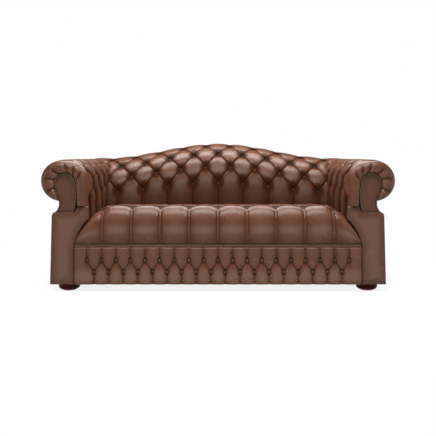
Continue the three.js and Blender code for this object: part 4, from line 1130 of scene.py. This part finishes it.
def hide(name, panel):
    """Antique leather: mottled dye, pores, fine wrinkles, and painted highlight and painted shade by how high a place
    stands, with some rubbed wear on the crowns.
    """
    f = Finish(name, Specular_IOR_Level=SHINE)
    rise = f.attribute("rise")
    shade = f.attribute("shade")
    cloudy = f.noise(5, 4, 0.6)
    patchy = f.noise(19, 5, 0.65, 0.4)
    worn = f.noise(70, 4, 0.7)
    tone = f.ramp(
        cloudy * 0.45 + patchy * 0.35 + worn * 0.2,
        (0.30, (0.045, 0.0122, 0.0034)), (0.50, (0.060, 0.0172, 0.0054)), (0.70, (0.076, 0.0240, 0.0085)),
    )
    grain = f.add("ShaderNodeTexVoronoi", {"feature": "DISTANCE_TO_EDGE"}, Vector=f.place, Scale=520.0)
    pores = f.ramp(grain, (0.0, 0.0), (0.22, 1.0))
    rough = ROUGH + 0.16 * cloudy + 0.03 * worn
    if panel:
        # The rims are darkened as painted shade, and the crowned middle stays lighter as a painted reflection.
        rim = f.ramp(rise, (0.0, 1.0), (0.35, 1.0), (0.75, 0.0))
        tone = f.mix(rim * 0.7, f.mix(0.6, tone, (0.118, 0.066, 0.045)), (0.044, 0.0125, 0.0045))
        normal = f.bump(f.noise(9, 3, 0.5, 0.5), 0.003, 0.3)
        normal = f.bump(f.noise(52, 5, 0.62, 1.0), 0.0007, 0.25, normal)
    else:
        near = f.attribute("near")
        # Lighter on the crowns, as rubbed wear and painted highlight; painted shade in the folds and round the
        # buttons.
        crown = f.maths("MAXIMUM", 0.0, rise - 0.45) * 0.42
        tone = f.mix(crown, tone, (0.150, 0.088, 0.064))
        fold = f.ramp(rise, (0.0, 1.0), (0.09, 0.6), (0.24, 0.0))
        tone = f.mix(fold * 0.82, tone, (0.016, 0.0055, 0.003))
        dimple = f.ramp(near, (0.08, 1.0), (0.17, 0.55), (0.28, 0.0))
        tone = f.mix(dimple * 0.95, tone, (0.010, 0.0044, 0.0028))
        rough = rough + 0.25 * fold + 0.4 * dimple
        normal = f.bump(f.noise(15, 3, 0.5, 0.8), 0.0035, 0.28)
        normal = f.bump(f.noise(46, 5, 0.62, 1.2, stretch=(1.0, 1.0, 2.2)), 0.0012, 0.28, normal)
    tone = f.mix(shade * 0.7, tone, (0.018, 0.0062, 0.003))
    normal = f.bump(pores, 0.00022, 0.6, normal)
    if not panel:
        # Deep in the folds and hollows, and where shade is painted, the gloss is taken out as painted shade.
        matte_shade = f.add("ShaderNodeBsdfPrincipled", {}, Base_Color=tone, Roughness=0.9, Specular_IOR_Level=0.0)
        f.show_over(f.maths("MINIMUM", 1.0, fold * 0.7 + dimple * 0.95 + shade * 0.75), matte_shade)
    return f.surface(Base_Color=tone, Roughness=rough, Normal=normal)


def antique_brass():
    f = Finish("antique_brass", Metallic=1.0, Roughness=0.35)
    spots = f.noise(420, 3, 0.6)
    # Painted glint: only the crowns are bright, and the rims are darkened as painted shade.
    lightened = f.ramp(f.attribute("rise"), (0.60, 0.0), (0.87, 0.12), (0.95, 1.0))
    tone = f.ramp(spots, (0.35, (0.60, 0.39, 0.22)), (0.75, (0.84, 0.60, 0.38)))
    tone = f.mix(lightened, (0.010, 0.0056, 0.0035), tone)
    return f.surface(Base_Color=tone, Roughness=0.16 + 0.25 * spots, Normal=f.bump(spots, 0.0002, 0.4))


def polished_mahogany():
    f = Finish("polished_mahogany", Specular_IOR_Level=0.06)
    grain = f.noise(26, 6, 0.6, 1.5, stretch=(1.0, 1.0, 7.0))
    tone = f.ramp(grain, (0.3, (0.010, 0.0007, 0.0004)), (0.55, (0.024, 0.0015, 0.0009)), (0.8, (0.050, 0.004, 0.002)))
    return f.surface(Base_Color=tone, Roughness=0.24 + 0.14 * grain, Normal=f.bump(grain, 0.0002, 0.3))


def sawn_beech():
    f = Finish("sawn_beech", Roughness=0.7)
    grain = f.noise(9, 6, 0.6, 0.6, stretch=(1.0, 14.0, 14.0))
    flecks = f.noise(160, 2, 0.5, stretch=(1.0, 5.0, 5.0))
    tone = f.ramp(
        grain * 0.75 + flecks * 0.25,
        (0.3, (0.36, 0.215, 0.105)), (0.55, (0.52, 0.345, 0.19)), (0.8, (0.66, 0.47, 0.29)),
    )
    return f.surface(Base_Color=tone, Roughness=0.6 + 0.2 * flecks, Normal=f.bump(grain, 0.0006, 0.4))


def padding_foam():
    f = Finish("padding_foam", Roughness=0.95)
    cells = f.add("ShaderNodeTexVoronoi", {}, Vector=f.place, Scale=420.0)
    aged = f.noise(6, 3, 0.6)
    tone = f.ramp(aged, (0.35, (0.66, 0.56, 0.34)), (0.7, (0.82, 0.76, 0.58)))
    return f.surface(Base_Color=tone, Roughness=0.88 + 0.1 * cells, Normal=f.bump(cells, 0.0008, 0.6))


def woven(name, dark, light, scale):
    """Hessian and black lining cloth: two crossed sets of threads."""
    f = Finish(name, Roughness=0.9)
    threads = [
        f.add("ShaderNodeTexWave", {"bands_direction": way}, Vector=f.place, Scale=scale, Distortion=0.6, Detail=1.0)
        for way in ("X", "Y", "Z")
    ]
    weave = (threads[0] + threads[1] + threads[2]) / 3
    aged = f.noise(8, 4, 0.6)
    tone = f.mix(weave * 0.7 + aged * 0.3, dark, light)
    return f.surface(Base_Color=tone, Roughness=0.82 + 0.14 * weave, Normal=f.bump(weave, 0.0004, 0.5))


def spring_steel():
    f = Finish("spring_steel", Metallic=1.0, Roughness=0.35)
    film = f.noise(60, 4, 0.6)
    tone = f.ramp(film, (0.3, (0.20, 0.20, 0.21)), (0.7, (0.42, 0.43, 0.45)))
    return f.surface(Base_Color=tone, Roughness=0.28 + 0.2 * film, Normal=f.bump(film, 0.0001, 0.3))


finishes = {
    "leather": hide("antique_leather", panel=False),
    "nail_brass": antique_brass(),
    "mahogany": polished_mahogany(),
    "beech": sawn_beech(),
    "foam": padding_foam(),
    "lining_board": woven("hessian", (0.22, 0.145, 0.075), (0.50, 0.37, 0.22), 210),
    "lining_cloth": woven("black_lining", (0.012, 0.011, 0.011), (0.045, 0.043, 0.042), 260),
    "spring_steel": spring_steel(),
}
panel_finish = hide("antique_leather_panel", panel=True)
PANELS = ("facing_leather", "front_panel_leather", "outside_arm_leather", "outside_back_leather")

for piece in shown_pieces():
    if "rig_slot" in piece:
        base = piece.name.removesuffix("_L").removesuffix("_R")
        piece.data.materials.clear()
        piece.data.materials.append(panel_finish if base in PANELS else finishes[piece["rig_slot"]])

slot_of = {entry["node"]: entry["material_slot"] for entry in frame["record"]["subparts"]}
for name, node in frame["nodes"].items():
    for slot in node.material_slots:
        slot.material = finishes[slot_of[name]]

# Floor, surroundings, lamps and camera

floor_mesh = bmesh.new()
bmesh.ops.create_grid(floor_mesh, x_segments=1, y_segments=1, size=14)
bmesh.ops.translate(floor_mesh, vec=(0, 0, -0.0002), verts=floor_mesh.verts)
mesh = bpy.data.meshes.new("floor")
floor_mesh.to_mesh(mesh)
floor_mesh.free()
floor = add_object("floor", mesh)
floor_finish = Finish("pale_floor", Roughness=0.85, Base_Color=(0.86, 0.86, 0.86, 1))
floor_finish.surface(Roughness=0.8 + 0.1 * floor_finish.noise(30, 2))


def seen_rays(finish, mirrored_share=1.0):
    """1 on the rays that look at the surroundings, straight, in a reflection or through glass; else 0."""
    camera, glossy, through = (
        finish.add("ShaderNodeLightPath", {}, output=f"Is {kind} Ray") for kind in ("Camera", "Glossy", "Transmission")
    )
    return finish.maths("MAXIMUM", finish.maths("MAXIMUM", camera, glossy * mirrored_share), through)


# Close to the sofa a seventh of the floor's white is its own, so that it keeps a faint shadow.
apart = floor_finish.add("ShaderNodeVectorMath", {"operation": "LENGTH"}, floor_finish.place, output="Value")
plain_white = floor_finish.add("ShaderNodeEmission", {}, Color=(1, 1, 1), Strength=1.0)
share_white = floor_finish.ramp(apart / 3, (0.35, FLOOR_WHITE), (0.75, 1.0)) * seen_rays(floor_finish)
floor_finish.show_over(share_white, plain_white)
floor.data.materials.append(floor_finish.material)

world = bpy.data.worlds.new("studio")
bpy.context.scene.world = world
world.use_nodes = True
surroundings = Finish.on(world.node_tree)
background = world.node_tree.nodes["Background"]
background.inputs["Color"].default_value = (1, 1, 1, 1)
way = surroundings.add("ShaderNodeTexCoord", {}, output="Generated")
upwards = surroundings.add("ShaderNodeSeparateXYZ", {}, way, output="Z")
wall = surroundings.ramp(upwards, (0.0, 1.0), (0.12, 0.0))
seen = seen_rays(surroundings, wall)
surroundings.feed(background.inputs["Strength"], WORLD_LEVEL + (1 - WORLD_LEVEL) * seen)


def softbox(name, place, aim, size, power):
    light = bpy.data.lights.new(name, "AREA")
    light.shape = "RECTANGLE"
    light.size, light.size_y = size
    light.energy = power
    lamp = add_object(name, light)
    lamp.location = place
    lamp.rotation_euler = (Vector(aim) - Vector(place)).to_track_quat("-Z", "Y").to_euler()


softbox("overhead_front", (0, -1.05, 2.4), (0, 0, 0.5), (3.0, 0.7), 128)
softbox("overhead_rear", (0, 0.6, 2.5), (0, 0.1, 0.5), (3.0, 0.7), 110)
softbox("front_high", (0, -2.5, 1.9), (0, 0, 0.4), (3.0, 0.3), 14)
softbox("front_fill", (0, -3.9, 0.8), (0, 0, 0.3), (2.4, 0.5), 3)
softbox("side_left", (-3.2, -1.2, 1.2), (-0.4, 0, 0.5), (0.4, 1.5), 14)
softbox("side_right", (3.2, -1.2, 1.2), (0.4, 0, 0.5), (0.4, 1.5), 14)

camera_data = bpy.data.cameras.new("camera")
camera = add_object("camera", camera_data)
camera.location = (0, FRONT_Y - 3.1, 0.672)
camera.rotation_euler = (math.pi / 2, 0, 0)
camera_data.sensor_width = 36
camera_data.lens = 45.8
camera_data.shift_y = -0.1055
bpy.context.scene.camera = camera
bpy.context.scene.view_settings.view_transform = "Standard"
